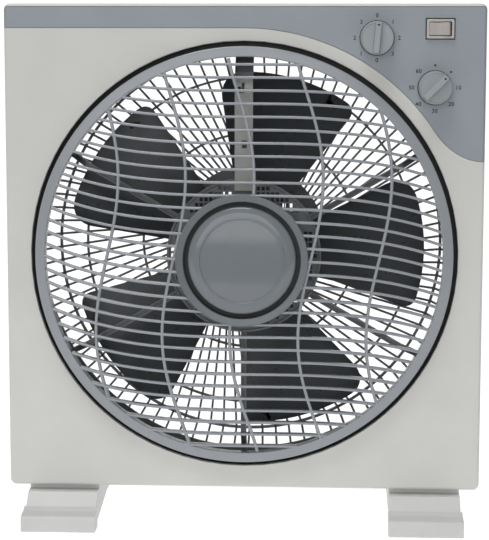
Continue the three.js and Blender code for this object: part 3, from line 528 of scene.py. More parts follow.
def control_holes(y_front, y_back):
    half_x = ROCKER_HALF[0] + ROCKER_GROOVE
    half_z = ROCKER_HALF[1] + ROCKER_GROOVE
    across = (ROCKER.x - half_x, ROCKER.x + half_x)
    up = (ROCKER.z - half_z, ROCKER.z + half_z)
    rod = [(0, y_front), (KNOB_HOLE, y_front), (KNOB_HOLE, y_back), (0, y_back)]
    return (
        turned(rod, 64, SPEED.x, SPEED.z),
        turned(rod, 64, TIMER.x, TIMER.z),
        block(across, (y_front, y_back), up),
    )


SHELL_SCREWS = [(x, z) for x in (-181, 181) for z in (45, 415)]
GUARD_EARS = [around(193, angle) for angle in (45, 135, 225, 315)]
MOTOR_SCREWS = [around(30, angle) for angle in (30, 150, 270)]
CORD_GLAND = (150, 62)


def rod_solid(radius, y_front, y_back, x, z, segments=24):
    return turned([(0, y_front), (radius, y_front), (radius, y_back), (0, y_back)], segments, x, z)


def upright_rod(radius, z_low, z_high, place, segments=24):
    angles = [TURN * i / segments for i in range(segments)]
    outline = [(place.x + radius * math.cos(a), place.y + radius * math.sin(a)) for a in angles]
    return lofted([[(x, y, z) for x, y in outline] for z in (z_low, z_high)])


def front_half(name):
    return make_object(
        name,
        shell_solid(SHELL_HIGH.y, FACE_Y, FACE_Y + FACE_THICKNESS, OPENING_RADIUS, EDGE_ROUNDING, 1),
    )


def make_front_shell():
    shell = front_half("housing_front")
    recess = prism(panel_outline(PANEL_GROOVE), FACE_Y - 5, FACE_Y + PANEL_DEPTH + 0.3)
    carve(shell, recess, *control_holes(FACE_Y - 5, FACE_Y + FACE_THICKNESS + 2))
    piece(shell, "housing", SHELL, "shell_plastic", "front_shell")


def make_rear_shell():
    shell = make_object(
        "housing_rear",
        shell_solid(REAR_LOW.y, BACK_Y, BACK_Y - REAR_WALL, REAR_OPENING_RADIUS, 4.5, -1),
    )
    seats = [rod_solid(4.1, BACK_Y - 2.6, BACK_Y + 5, x, z) for x, z in SHELL_SCREWS]
    ears = [rod_solid(2, BACK_Y - REAR_WALL - 1, BACK_Y + 5, ear.x, ear.z) for ear in GUARD_EARS]
    gland = rod_solid(6.3, BACK_Y - REAR_WALL - 1, BACK_Y + 5, *CORD_GLAND)
    carve(shell, joined(*seats, *ears, gland))
    piece(shell, "housing", SHELL, "shell_plastic", "rear_shell")


def make_panel():
    """The panel follows the housing's rounded edges at both sides."""
    panel = front_half("control_panel_inlay")
    carve(panel, prism(panel_outline(0), FACE_Y - 5, FACE_Y + PANEL_DEPTH), operation="INTERSECT")
    carve(panel, *control_holes(FACE_Y - 5, FACE_Y + 5))
    piece(panel, "housing", PANEL, "panel_plastic", "control_panel")


# ---------------------------------------------------------------- printed dial marks
MARK_RADIUS = 17.9
MARK_STEP = 45
WIDE_MARK_OUTSET = 0.8
DIGIT_HEIGHT = 3.4
FONT_SIZE_PER_DIGIT_HEIGHT = 1.35


def printed(name, words, x, z):
    """A number printed on the panel, centred on a point."""
    text = bpy.data.curves.new(name, "FONT")
    text.body = words
    text.size = DIGIT_HEIGHT * FONT_SIZE_PER_DIGIT_HEIGHT * MM
    text.align_x = "CENTER"
    text.align_y = "CENTER"
    text.extrude = 0.05 * MM
    text.offset = 0.09 * MM
    text.space_character = 1.05
    draft = bpy.data.objects.new(name + "_draft", text)
    bpy.context.scene.collection.objects.link(draft)
    bpy.context.view_layer.update()
    drawn = draft.evaluated_get(bpy.context.evaluated_depsgraph_get())
    mesh = bpy.data.meshes.new_from_object(drawn)
    bpy.data.objects.remove(draft)
    place = Matrix.Translation(Vector((x, FACE_Y, z)) * MM) @ Matrix.Rotation(math.pi / 2, 4, "X")
    mesh.transform(place)
    made = bpy.data.objects.new(name, mesh)
    bpy.context.scene.collection.objects.link(made)
    piece(made, "housing", INK, "dark_plastic")


def make_marks():
    """Eight marks clockwise round each dial, from the top. A dash stands for a dot."""
    dials = {
        "speed": (SPEED, "0 1 2 3 0 1 2 3"),
        "timer": (TIMER, "- - 10 20 30 40 50 60"),
    }
    for dial, (centre, marks) in dials.items():
        for i, mark in enumerate(marks.split()):
            angle = math.radians(90 - MARK_STEP * i)
            radius = MARK_RADIUS + (WIDE_MARK_OUTSET if len(mark) > 1 else 0)
            x = centre.x + radius * math.cos(angle)
            z = centre.z + radius * math.sin(angle)
            if mark == "-":
                dot = rod_solid(0.9, FACE_Y - 0.05, FACE_Y + 0.1, x, z)
                piece(make_object(f"{dial}_mark_{i}", dot), "housing", INK, "dark_plastic")
            else:
                printed(f"{dial}_mark_{i}", mark, x, z)


# ---------------------------------------------------------------- louver grille
def dome(radius):
    return -DOME_RISE * max(0, 1 - (radius / RIM_RADIUS) ** 2)


def bar_front(x, z):
    """The front line of a slat or rib at a place given from the axis."""
    return Vector((x, RIM_FRONT_Y + 1 + dome(math.hypot(x, z)), AXIS_Z + z))


def runs_in_field(curve, samples=150):
    """The stretches of a curve of (x, z) points that lie between the hub and the rim."""
    inner = HUB_RING_RADIUS - 2
    outer = RIM_RADIUS - RIM_WIDTH + 1.2
    runs = [[]]
    for i in range(samples + 1):
        x, z = curve(-1 + 2 * i / samples)
        if inner < math.hypot(x, z) < outer:
            runs[-1].append(bar_front(x, z))
        elif runs[-1]:
            runs.append([])
    return [run for run in runs if len(run) > 1]


def vane_section(width, depth, back_width):
    """A vane with a round nose, thinner at the back."""
    half = width / 2
    steps = 8
    angles = [math.pi * i / steps for i in range(steps + 1)]
    nose = [(-half * math.cos(a), half * (1 - math.sin(a))) for a in angles]
    return nose + [(back_width / 2, depth), (-back_width / 2, depth)]


def slat_curve(row):
    return lambda t: (t * BAR_REACH, row * SLAT_PITCH - SLAT_SWEEP * t**3)


def rib_curve(column):
    def curve(t):
        sway = RIB_SWAY * (1 + 0.6 * t * t) * math.sin(math.pi * t / RIB_HALF_WAVE)
        return (column * RIB_PITCH + sway, t * BAR_REACH)

    return curve


HUB_FRONT_Y = RIM_FRONT_Y + dome(HUB_RING_RADIUS) - 1
HUB_FLOOR_Y = HUB_FRONT_Y + HUB_FLOOR_DEPTH
SOCKET = {"radius": 6, "bore": 1.8, "length": 9.8, "floor": 1.5}


def make_louver():
    slat_section = vane_section(2.3, 7, 1.5)
    rib_section = vane_section(2.6, 6, 1.8)
    bars = []
    for row in range(-SLAT_ROWS, SLAT_ROWS + 1):
        bars += [swept(run, slat_section, upright=True) for run in runs_in_field(slat_curve(row))]
    for column in range(-2, 3):
        bars += [swept(run, rib_section, upright=True) for run in runs_in_field(rib_curve(column))]
    rim_inner = RIM_RADIUS - RIM_WIDTH
    rim_back = RIM_FRONT_Y + 8
    skirt_inner = RIM_RADIUS - 2.5
    flange_back = FLANGE_FRONT_Y + FLANGE_THICKNESS
    rim = filleted(
        [
            (rim_inner, rim_back, 0.4),
            (rim_inner, RIM_FRONT_Y - 1.6, 0.9),
            (RIM_RADIUS, RIM_FRONT_Y + 0.5, 1.4),
            (RIM_RADIUS, rim_back, 0.3),
        ]
    )
    skirt = filleted(
        [
            (skirt_inner, rim_back - 1, 0),
            (RIM_RADIUS - 0.1, rim_back - 1, 0),
            (RIM_RADIUS - 0.1, FLANGE_FRONT_Y, 0.5),
            (FLANGE_RADIUS, FLANGE_FRONT_Y, 0.4),
            (FLANGE_RADIUS, flange_back, 0.4),
            (skirt_inner, flange_back, 0.4),
        ]
    )
    # The skirt and flange behind the rim are near black as painted shade of the deep gap between the
    # rim and the housing; they are of the louver's plastic.
    piece(make_object("louver_skirt", turned(skirt, 240)), "louver", DARK_AND_SHADE, "dark_plastic")
    grille = make_object("louver_grille_moulding", joined(*bars, turned(rim, 240)))
    piece(grille, "louver", LOUVER, "louver_plastic", "louver_grille")


def make_hub_ring():
    """The ring that the slats run into, and the well behind the cap with the shaft's socket. The well
    is near black as painted shade of the deep groove round the cap.
    """
    ring_inner = HUB_RING_RADIUS - HUB_RING_WIDTH
    floor_back = HUB_FLOOR_Y + 3
    ring = filleted(
        [
            (ring_inner, floor_back, 0),
            (ring_inner, HUB_FRONT_Y + 2.2, 0.6),
            (HUB_RING_RADIUS - 1.2, HUB_FRONT_Y + 1, 0.3),
            (HUB_RING_RADIUS, HUB_FRONT_Y + 0.4, 0.5),
            (HUB_RING_RADIUS, floor_back, 0.5),
        ]
    )
    piece(make_object("louver_hub_ring", turned(ring, 128)), "louver", HUB_RING, "cap_plastic")
    # A thin near-black sleeve along the ring's inner wall, painted shade in the groove.
    shade_lining = 0.6
    socket_end = HUB_FLOOR_Y + SOCKET["length"]
    well = [
        (0, HUB_FLOOR_Y),
        (ring_inner - shade_lining, HUB_FLOOR_Y),
        (ring_inner - shade_lining, HUB_FRONT_Y + 3.4),
        (ring_inner + 0.1, HUB_FRONT_Y + 3.4),
        (ring_inner + 0.1, floor_back - 0.1),
        (SOCKET["radius"], floor_back - 0.1),
        (SOCKET["radius"], socket_end),
        (SOCKET["bore"], socket_end),
        (SOCKET["bore"], HUB_FLOOR_Y + SOCKET["floor"]),
        (0, HUB_FLOOR_Y + SOCKET["floor"]),
    ]
    piece(make_object("louver_hub_well", turned(well, 128)), "louver", DARK_AND_SHADE, "dark_plastic")


def make_hub_cap():
    disc_radius = 33.2
    disc_edge_y = HUB_FRONT_Y + 0.2
    disc_rise = 1.9
    crown_radius = HUB_CAP_RADIUS - 0.5
    disc = [
        (disc_radius * i / 12, disc_edge_y - disc_rise * (1 - (i / 12) ** 2)) for i in range(13)
    ]
    border = filleted(
        [
            (33.6, disc_edge_y, 0.2),
            (33.9, disc_edge_y - 0.7, 0.25),
            (34.6, disc_edge_y - 0.6, 0.25),
            (35.0, disc_edge_y, 0.3),
            (38.8, disc_edge_y + 0.7, 9),
            (crown_radius - 0.6, disc_edge_y + 3.2, 3),
            (crown_radius, disc_edge_y + 7, 2),
            (crown_radius, HUB_FLOOR_Y - 0.3, 0),
            (0, HUB_FLOOR_Y - 0.3, 0),
            (0, disc_edge_y, 0),
        ],
        6,
    )
    profile = [Vector(point) for point in disc] + border[:-1]
    cap = make_object("louver_cap_moulding", turned(profile, 128))
    piece(cap, "louver", CAP, "cap_plastic", "louver_hub_cap", degrees=50)


# ---------------------------------------------------------------- impeller
HUB = {"radius": 36, "front": -38, "back": -7}
BLADE_SHAPE = {
    "root": 33,
    "leading": -20,
    "trailing": 26.5,
    "thickness": 2,
    "middle_y": -22,
    "root_half_rise": 11,
    "tip_half_rise": 16,
    "leading_corner": 10,
    "trailing_corner": 20,
    "camber": 5,
}


def corner_loss(distance, radius):
    """How much shorter a blade is at this distance from a rounded corner."""
    if distance >= radius:
        return 0
    return radius - math.sqrt(radius**2 - (radius - distance) ** 2)


def blade_point(u, v, side):
    shape = BLADE_SHAPE
    spread = shape["trailing"] - shape["leading"]
    chord = IMPELLER_RADIUS * math.radians(spread)
    lost = corner_loss(v * chord, shape["leading_corner"])
    lost += corner_loss((1 - v) * chord, shape["trailing_corner"])
    radius = shape["root"] + u * (IMPELLER_RADIUS - lost - shape["root"])
    angle = math.radians(shape["leading"] + v * spread)
    half_rise = shape["root_half_rise"] + u * (shape["tip_half_rise"] - shape["root_half_rise"])
    camber = shape["camber"] * u * (1 - (2 * v - 1) ** 2)
    edge = min(v, 1 - v) * chord
    thickness = shape["thickness"] * (0.45 + 0.55 * min(1, edge / 6))
    y = shape["middle_y"] + half_rise * (1 - 2 * v) + camber + side * thickness
    return Vector((radius * math.cos(angle), y, AXIS_Z + radius * math.sin(angle)))


def blade_solid():
    spans = [i / 22 for i in range(23)]
    chords = [(1 - math.cos(math.pi * i / 30)) / 2 for i in range(31)]
    rings = [
        [blade_point(u, v, 0) for v in chords] + [blade_point(u, v, 1) for v in reversed(chords)]
        for u in spans
    ]
    return lofted(rings)


def make_impeller():
    hub = filleted(
        [
            (4.2, HUB["front"], 0),
            (20, HUB["front"], 2),
            (30, HUB["front"] + 4, 5),
            (HUB["radius"], HUB["front"] + 13, 4),
            (HUB["radius"], HUB["back"], 0.4),
            (HUB["radius"] - 3, HUB["back"], 0.4),
            (HUB["radius"] - 3, HUB["front"] + 14, 1),
            (12, HUB["front"] + 14, 1),
            (12, HUB["back"], 0.4),
            (4.2, HUB["back"], 0),
        ]
    )
    axis = Matrix.Translation((0, 0, AXIS_Z))
    blades = []
    for i in range(BLADES):
        spin = axis @ Matrix.Rotation(-TURN * i / BLADES, 4, "Y") @ axis.inverted()
        blades.append(moved(blade_solid(), spin))
    impeller = make_object("impeller_moulding", joined(turned(hub, 96), *blades))
    piece(impeller, "fan", BLADE, "blade_plastic", "impeller")
    nut = filleted(
        [
            (4.2, HUB["front"] - 0.3, 0),
            (14, HUB["front"] - 0.3, 0.5),
            (13, HUB["front"] - 8, 3),
            (7, HUB["front"] - 12, 1),
            (4.2, HUB["front"] - 12, 0.5),
        ]
    )
    piece(make_object("spinner_cap", turned(nut, 48)), "fan", BLADE, "blade_plastic", "spinner_nut")


# ---------------------------------------------------------------- rear guard
def dish_y(radius):
    share = (radius - DISH_RADIUS) / (BEND_RADIUS - DISH_RADIUS)
    return GUARD_PLANE_Y - DISH_DEPTH * min(1, max(0, share))


def spoke_path(angle):
    """From the dish's middle plate out to the bend, then forward to the flange."""
    turn = angle + math.degrees(math.asin(SPOKE_OFFSET / BEND_RADIUS))
    path = []
    for reach in (DISH_RADIUS - 4, 100, 135, BEND_RADIUS - 1.5):
        radius = math.hypot(reach, SPOKE_OFFSET)
        trail = math.degrees(math.atan2(SPOKE_OFFSET, reach))
        path.append(around(radius, turn - trail, dish_y(radius)))
    path.append(around(BEND_RADIUS + 1, angle, dish_y(BEND_RADIUS) - 1.5))
    path.append(around(SIDE_RADIUS, angle, GUARD_FLANGE_FRONT + 1))
    return path


def guard_ring(radius, width, depth=3.2):
    front = dish_y(radius) - 0.2
    half = width / 2
    return turned(
        filleted(
            [
                (radius - half, front, 0.4),
                (radius + half, front, 0.4),
                (radius + half, front + depth, 0.3),
                (radius - half, front + depth, 0.3),
            ],
            2,
        ),
        120,
    )


def make_guard():
    spoke_section = [(-0.9, 0.4), (-0.5, 0), (0.5, 0), (0.9, 0.4), (0.9, 2.8), (-0.9, 2.8)]
    turns = [90 + 360 * i / GUARD_SPOKES for i in range(GUARD_SPOKES)]
    bars = [swept(spoke_path(turn), spoke_section) for turn in turns]
    rings = [guard_ring(radius, 2) for radius in GUARD_RINGS]
    rings.append(guard_ring(BEND_RADIUS, 2.4))
    plate = turned(
        filleted(
            [
                (0, GUARD_PLANE_Y, 0),
                (55, GUARD_PLANE_Y, 0.3),
                (55.5, GUARD_PLANE_Y - 1.5, 0.4),
                (57.5, GUARD_PLANE_Y - 1.5, 0.4),
                (58, GUARD_PLANE_Y, 0.3),
                (DISH_RADIUS, GUARD_PLANE_Y, 0.5),
                (DISH_RADIUS, GUARD_PLANE_Y + 3, 0.5),
                (0, GUARD_PLANE_Y + 3, 0),
            ]
        ),
        120,
    )
    flange = turned(
        filleted(
            [
                (SIDE_RADIUS, GUARD_FLANGE_FRONT, 0.5),
                (GUARD_BORDER, GUARD_FLANGE_FRONT, 0.5),
                (GUARD_BORDER, GUARD_FLANGE_BACK, 0.5),
                (SIDE_RADIUS, GUARD_FLANGE_BACK, 0.5),
            ]
        ),
        180,
    )
    ears = [
        rod_solid(GUARD_EAR_RADIUS, GUARD_FLANGE_FRONT, GUARD_FLANGE_BACK, ear.x, ear.z)
        for ear in GUARD_EARS
    ]
    plate_object = make_object("rear_guard_dish_plate", plate)
    slots = []
    for row in range(-4, 5):
        z = AXIS_Z + row * 10
        reach = math.sqrt(50**2 - (row * 10) ** 2)
        for column in range(-8, 9):
            x = column * 6
            clear = all(math.hypot(x - s.x, z - s.z) > 9 for s in MOTOR_SCREWS)
            if abs(x) < reach - 2 and math.hypot(x, z - AXIS_Z) > 8 and clear:
                through = (GUARD_PLANE_Y - 2, GUARD_PLANE_Y + 5)
                slots.append(block((x - 1.4, x + 1.4), through, (z - 3.6, z + 3.6)))
    carve(plate_object, joined(*slots))
    piece(plate_object, "housing", GUARD, "guard_plastic")
    guard = make_object("rear_guard_basket", joined(*bars, *rings, flange, *ears))
    piece(guard, "housing", GUARD, "guard_plastic", "rear_guard")


# ---------------------------------------------------------------- front support
SUPPORT_FRONT = corners("front_support")[0].y
SUPPORT_BACK = corners("front_support")[1].y
SUPPORT_DISH = 63.5
SUPPORT_RING = (176, 184.5)
SUPPORT_EARS = [around(187.5, angle) for angle in (20, 160, 200, 340)]
STRUT_TURN = 60
STRUT_HALF_WIDTHS = {"top": 7.4, "others": 2.3}


def strut_solid(angle, half_width):
    """A channel, open to the front, from the dish out to the ring behind the louver's flange."""
    wall, floor_depth, depth = 0.8, 3.4, 5
    behind_flange = SUPPORT_BACK - 6.5
    path = [
        around(SUPPORT_DISH - 3, angle, SUPPORT_FRONT),
        around(150, angle, SUPPORT_FRONT),
        around(162, angle, behind_flange),
        around(SUPPORT_RING[1] - 1, angle, behind_flange),
    ]
    inner = half_width - wall
    section = [(-half_width, 0), (-inner, 0), (-inner, floor_depth), (inner, floor_depth), (inner, 0)]
    section += [(half_width, 0), (half_width, depth), (-half_width, depth)]
    return swept(path, section)


def dish_slots():
    """Small openings in rows over the dish's border, apart from the places where the struts meet it."""
    pitch_x, pitch_z, half_x, half_z = 3.9, 4.6, 1.45, 1.7
    slots = []
    for row in range(-13, 14):
        for column in range(-16, 17):
            x, z = column * pitch_x, row * pitch_z
            radius = math.hypot(x, z)
            from_strut = (math.degrees(math.atan2(z, x)) + STRUT_TURN) % STRUT_TURN - STRUT_TURN / 2
            if 45 < radius < SUPPORT_DISH - 4.5 and abs(from_strut) > 10:
                place_x, place_z = (x - half_x, x + half_x), (AXIS_Z + z - half_z, AXIS_Z + z + half_z)
                slots.append(block(place_x, (SUPPORT_FRONT - 5, SUPPORT_FRONT + 10), place_z))
    return joined(*slots)


def make_front_support():
    border = filleted(
        [
            (0, SUPPORT_FRONT + 1.2, 0),
            (SUPPORT_DISH - 2.2, SUPPORT_FRONT + 1.2, 0.3),
            (SUPPORT_DISH - 1.9, SUPPORT_FRONT, 0.3),
            (SUPPORT_DISH, SUPPORT_FRONT, 0.6),
            (SUPPORT_DISH, SUPPORT_FRONT + 3, 0.3),
            (0, SUPPORT_FRONT + 3, 0),
        ]
    )
    dish = make_object("front_support_dish", turned(border, 120))
    carve(dish, dish_slots())
    piece(dish, "housing", GUARD, "guard_plastic")
    struts = []
    for i in range(6):
        half_width = STRUT_HALF_WIDTHS["top" if i == 0 else "others"]
        struts.append(strut_solid(90 + STRUT_TURN * i, half_width))
    inner, outer = SUPPORT_RING
    ring_front = SUPPORT_BACK - 3
    ring = filleted(
        [
            (inner, ring_front, 0.4),
            (outer, ring_front, 0.4),
            (outer, SUPPORT_BACK, 0.4),
            (inner, SUPPORT_BACK, 0.4),
        ]
    )
    ears = [rod_solid(5.5, ring_front, SUPPORT_BACK, ear.x, ear.z) for ear in SUPPORT_EARS]
    frame_piece = make_object("front_support_struts", joined(*struts, turned(ring, 180), *ears))
    piece(frame_piece, "housing", GUARD, "guard_plastic", "front_support")


DUCT_SLOTS = [
    {"left": -5, "right": -2.3, "bottom": 133, "height": 5},
    {"left": -1.5, "right": 0.4, "bottom": 133, "height": 8},
    {"left": -1.5, "right": 2.5, "bottom": 88.5, "height": 6},
]


def make_duct_cover():
    low, high = corners("wiring_duct_cover")
    solid = block((low.x, high.x), (low.y, high.y), (low.z, high.z))
    cover = make_object("wiring_duct_moulding", solid)
    slots = []
    for slot in DUCT_SLOTS:
        bottom = AXIS_Z + slot["bottom"]
        across = (slot["left"], slot["right"])
        slots.append(block(across, (low.y - 2, high.y + 2), (bottom, bottom + slot["height"])))
    carve(cover, joined(*slots))
    soften(cover, 0.6)
    piece(cover, "housing", DUCT, "guard_plastic", "wiring_duct_cover")


# ---------------------------------------------------------------- feet
SOLE_END = 88
TOE_BACK = 81
TOE_FLARE = 1.4
ARCH = {"rise": 13, "half_top": 8}
SHELF = {"height": 27, "lip": 4, "depth": 7}
FOOT_SCREW_WELL = 4.2


def foot_half_profile(toe, body_y, top):
    """One half of the foot's side view as (y, z, radius) corners, from the arch round to the top."""
    lip = 1 if body_y > 0 else -1
    return [
        (lip * ARCH["half_top"], ARCH["rise"], 4),
        (lip * SOLE_END, 0, 0.8),
        (lip * toe, 0, 0.6),
        (lip * toe, 12.9, 3),
        (lip * (toe - 13), 14.3, 3),
        (lip * TOE_BACK, 16.8, 4),
        (body_y + lip * SHELF["lip"], SHELF["height"] - 0.7, 1.5),
        (body_y - lip * SHELF["depth"], SHELF["height"], 0),
        (body_y - lip * SHELF["depth"], top, 0),
    ]


def make_foot(name, node):
    """The side view run across the foot's width. The toes are a little wider than the middle."""
    low, high = corners(node)
    back = foot_half_profile(high.y, BACK_Y, high.z)
    front = foot_half_profile(high.y, FACE_Y, high.z)
    profile = filleted(back + front[::-1], 5)
    foot = make_object(name, lofted([[(x, y, z) for y, z in profile] for x in (low.x, high.x)]))
    middle = (-TOE_BACK, TOE_BACK)
    clear = (-1, high.z + 1)
    strips = [
        block((low.x - 1, low.x + TOE_FLARE), middle, clear),
        block((high.x - TOE_FLARE, high.x + 1), middle, clear),
    ]
    carve(foot, *strips)
    soften(foot, 1.2, 3, 45)
    for node_name in ("foot_screw_1", "foot_screw_2", "foot_screw_3", "foot_screw_4"):
        screw_low, screw_high = corners(node_name)
        place = (screw_low + screw_high) / 2
        if low.x < place.x < high.x:
            carve(foot, upright_rod(FOOT_SCREW_WELL, -1, screw_low.z + HEAD_HEIGHT, place))
    piece(foot, "housing", FOOT, "foot_plastic", node, degrees=50)


# ---------------------------------------------------------------- knobs and rocker
def make_knob(name, node, body, centre, degrees):
    """A flat round knob with a raised bar across it, turned clockwise by an angle."""
    front = FACE_Y - KNOB_HEIGHT
    cap = filleted(
        [
            (0, front + 0.3, 0),
            (KNOB_RADIUS - 1.4, front + 0.3, 0.3),
            (KNOB_RADIUS - 1.2, front, 0.2),
            (KNOB_RADIUS - 0.5, front, 0.4),
            (KNOB_RADIUS, front + 2, 0.6),
            (KNOB_RADIUS + 0.3, FACE_Y - 0.9, 0.3),
            (0, FACE_Y - 0.9, 0),
        ]
    )
    half = KNOB_RADIUS - 0.5
    base = [(-2.9, -half), (2.9, -half), (2.9, half), (-2.9, half)]
    crest = [(-2.3, -half + 0.8), (2.3, -half + 0.8), (2.3, half - 0.4), (-2.3, half - 0.4)]
    bar = lofted(
        [
            [(centre.x + x, front + 0.5, centre.z + z) for x, z in base],
            [(centre.x + x, front - 5, centre.z + z) for x, z in crest],
        ]
    )
    knob = make_object(name, joined(turned(cap, 72, centre.x, centre.z), bar))
    soften(knob, 0.4, 3, 30)
    middle = Matrix.Translation(Vector((centre.x, 0, centre.z)) * MM)
    turn = middle @ Matrix.Rotation(math.radians(degrees), 4, "Y") @ middle.inverted()
    knob.data.transform(turn)
    piece(knob, body, KNOB, "panel_plastic", node)
    tip = centre.z + half - 2.6
    angles = [TURN * i / 24 for i in range(24)]
    oval = [(centre.x + 1.05 * math.cos(a), tip + 0.8 * math.sin(a)) for a in angles]
    pointer = prism(oval, front - 5.06, front - 4.9)
    mark = make_object(name + "_mark", pointer)
    mark.data.transform(turn)
    piece(mark, body, INK, "dark_plastic")


def frame_solid(outer, inner, y_front, y_back, radius):
    """A rectangular frame at the rocker's place from half sizes."""
    rings = []
    signs = ((1, -1), (1, 1), (-1, 1), (-1, -1))
    for (half_x, half_z), y in ((outer, y_back), (outer, y_front), (inner, y_front), (inner, y_back)):
        outline = filleted([(side * half_x, level * half_z, radius) for side, level in signs])
        rings.append([(ROCKER.x + x, y, ROCKER.z + z) for x, z in outline])
    return lofted(rings, closed=True)


def make_rocker():
    half_x, half_z = ROCKER_HALF
    lip = 2
    bezel = make_object(
        "rocker_frame",
        frame_solid((half_x, half_z), (half_x - lip, half_z - lip), FACE_Y - 2, FACE_Y + 10, 0.8),
    )
    soften(bezel, 0.4)
    piece(bezel, "housing", BEZEL, "bezel_plastic", "rocker_bezel")
    outline = filleted(
        [
            (-8.4, 6.5, 0.8),
            (0, 4.6, 12),
            (8.4, 6.5, 1.6),
            (8.3, 2, 0.5),
            (7.3, -5, 0.5),
            (-7.3, -5, 0.5),
            (-8.3, 2, 0.5),
        ],
        6,
    )
    half = half_z - 2.6
    tilt = Matrix.Translation(ROCKER) @ Matrix.Rotation(math.radians(-7), 4, "Z")
    rings = [[tilt @ Vector((x, -forward, z)) for x, forward in outline] for z in (-half, half)]
    button = make_object("rocker_key", lofted(rings))
    soften(button, 0.7, 3, 50)
    piece(button, "rocker", BUTTON, "button_plastic", "rocker_button")


# ---------------------------------------------------------------- screws and gland
def screw_template(length):
    """A pan head screw with a cross recess. Its shank runs along -Y from the origin."""
    profile = filleted(
        [
            (0, HEAD_HEIGHT, 0),
            (2.4, 2.1, 0.6),
            (3.6, 0.8, 0.8),
            (3.6, 0, 0.1),
            (1.7, 0, 0),
            (1.7, -length, 0.5),
            (0, -length, 0),
        ]
    )
    template = make_object("screw_template", turned(profile, 32, 0, 0))
    cross = [block((-a, a), (1.1, 4), (-b, b)) for a, b in ((1.9, 0.4), (0.4, 1.9))]
    carve(template, *cross)
    return template


def make_screws(prefix, count, length, up=False):
    """Screws in place of CAD nodes, with their heads where the nodes' heads are."""
    template = screw_template(length)
    for i in range(1, count + 1):
        node = f"{prefix}_{i}"
        low, high = corners(node)
        middle = (low + high) / 2
        if up:
            place = Matrix.Translation(Vector((middle.x, middle.y, low.z + HEAD_HEIGHT)) * MM)
            place = place @ Matrix.Rotation(-math.pi / 2, 4, "X")
        else:
            place = Matrix.Translation(Vector((middle.x, high.y - HEAD_HEIGHT, middle.z)) * MM)
        made = bpy.data.objects.new(f"{node}_cross", template.data.copy())
        bpy.context.scene.collection.objects.link(made)
        made.data.transform(place)
        piece(made, "housing", SCREW, "screw_steel", node)
    bpy.data.objects.remove(template)


def make_gland():
    x, z = CORD_GLAND
    profile = filleted(
        [
            (3.4, BACK_Y - 8, 0),
            (6, BACK_Y - 8, 0.5),
            (6, BACK_Y + 0.3, 0),
            (8.5, BACK_Y + 0.3, 0.2),
            (8.5, BACK_Y + 2.5, 1),
            (3.4, BACK_Y + 2.5, 0.8),
        ]
    )
    gland = make_object("cord_gland_moulding", turned(profile, 48, x, z))
    piece(gland, "housing", DARK_AND_SHADE, "dark_plastic", "cord_gland")


# ---------------------------------------------------------------- looks of the CAD nodes that stay
CARRIED = {
    "louver_retainer": NYLON,
    "louver_motor": STEEL,
    "motor_front_cover": STEEL,
    "motor_rear_cover": STEEL,
    "motor_shaft": STEEL,
    "front_bearing": BRONZE,
    "rear_bearing": BRONZE,
    "stator_core": LAMINATION,
    "rotor_core": LAMINATION,
    "front_winding": COPPER,
    "rear_winding": COPPER,
    "impeller_drive_pin": STEEL,
    "speed_switch_body": DARK_AND_SHADE,
    "speed_switch_shaft": STEEL,
    "timer_body": DARK_AND_SHADE,
    "timer_shaft": STEEL,
    "capacitor": DARK_AND_SHADE,
}


def dress_carried_nodes():
    for name, node in frame["nodes"].items():
        for start, material in CARRIED.items():
            if name == start or name.startswith(start + "_") and name not in CARRIED:
                node.data.materials.clear()
                node.data.materials.append(material)


# ---------------------------------------------------------------- stage, light and camera
def make_sweep():
    """A studio sweep, floor and back in one, that glows enough to stay white under the fan."""
    front, back, top, bend = -900, 3000, 3000, 800
    outline = filleted(
        [
            (front, 0, 0),
            (back, 0, bend),
            (back, top, 0),
            (back + 20, top, 0),
            (back + 20, -20, bend),
            (front, -20, 0),
        ],
        12,
    )
    half_width = 6000
    sides = [[(x, y, z) for y, z in outline] for x in (-half_width, half_width)]
    sweep = make_object("sweep", lofted(sides))
    grey = colour(120, 120, 120)
    look = Look("sweep_look")
    look.paint(look.noise(300, 1), grey, scaled(grey, 0.985))
    look.shader.inputs["Roughness"].default_value = 0.8
    look.shader.inputs["Emission Color"].default_value = (1, 1, 1, 1)
    look.shader.inputs["Emission Strength"].default_value = 0.95
    sweep.data.materials.append(look.material)


def area_light(name, place, target, size, power):
    light = bpy.data.lights.new(name, "AREA")
    light.shape = "RECTANGLE"
    light.size, light.size_y = size
    light.energy = power
    lamp = bpy.data.objects.new(name, light)
    bpy.context.scene.collection.objects.link(lamp)
    lamp.location = place
    lamp.rotation_euler = (Vector(target) - Vector(place)).to_track_quat("-Z", "Y").to_euler()


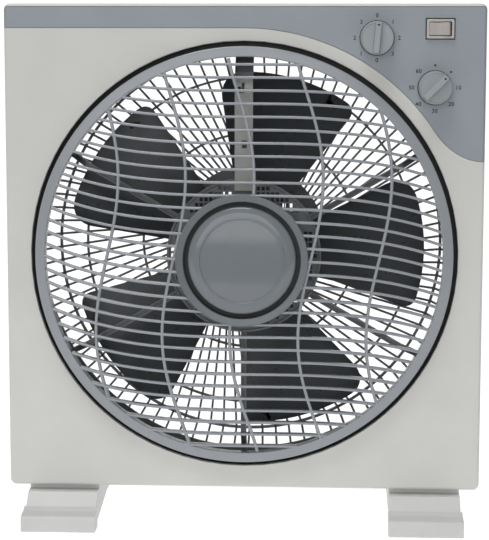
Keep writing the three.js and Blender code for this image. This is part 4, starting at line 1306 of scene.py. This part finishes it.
def make_light():
    world = bpy.data.worlds.new("studio")
    bpy.context.scene.world = world
    world.use_nodes = True
    background = world.node_tree.nodes["Background"]
    background.inputs["Color"].default_value = (1, 1, 1, 1)
    background.inputs["Strength"].default_value = 0.15
    area_light("overhead", (-0.4, -0.9, 3.0), (0, 0, 0.25), (1.6, 1.0), 50)
    area_light("front", (-0.5, -3.4, 1.3), (0, 0, 0.25), (3.2, 2.2), 43)


def make_camera():
    """A long lens a little above and to the right of the fan, looking slightly down and to the left."""
    place = Vector((0.06678, -1.44477, 0.38297))
    yaw = -0.04774
    pitch = 0.12228
    roll = 0.00184
    data = bpy.data.cameras.new("camera")
    data.sensor_fit = "VERTICAL"
    data.sensor_height = 36
    data.lens = 113.3
    camera = bpy.data.objects.new("camera", data)
    bpy.context.scene.collection.objects.link(camera)
    ahead = Vector((math.sin(yaw), math.cos(yaw), 0))
    forward = ahead * math.cos(pitch) - Vector((0, 0, math.sin(pitch)))
    level = Vector((math.cos(yaw), -math.sin(yaw), 0))
    upright = level.cross(forward)
    right = level * math.cos(roll) + upright * math.sin(roll)
    up = right.cross(forward)
    turn = Matrix((right, up, -forward)).transposed().to_4x4()
    camera.matrix_world = Matrix.Translation(place) @ turn
    bpy.context.scene.camera = camera


make_camera()
make_sweep()
make_light()
bpy.context.scene.view_settings.view_transform = "Standard"

make_front_shell()
make_rear_shell()
make_panel()
make_marks()
make_louver()
make_hub_ring()
make_hub_cap()
make_impeller()
make_guard()
make_front_support()
make_duct_cover()
make_foot("left_foot_moulding", "left_foot")
make_foot("right_foot_moulding", "right_foot")
make_knob("speed_knob_moulding", "speed_knob", "speed_control", SPEED, 5)
make_knob("timer_knob_moulding", "timer_knob", "timer_control", TIMER, 45)
make_rocker()
make_screws("shell_screw", 4, 55)
make_screws("guard_screw", 4, 9)
make_screws("motor_screw", 3, 8)
make_screws("louver_motor_screw", 2, 8)
make_screws("support_screw", 4, 8)
make_screws("foot_screw", 4, 20, up=True)
make_gland()
dress_carried_nodes()
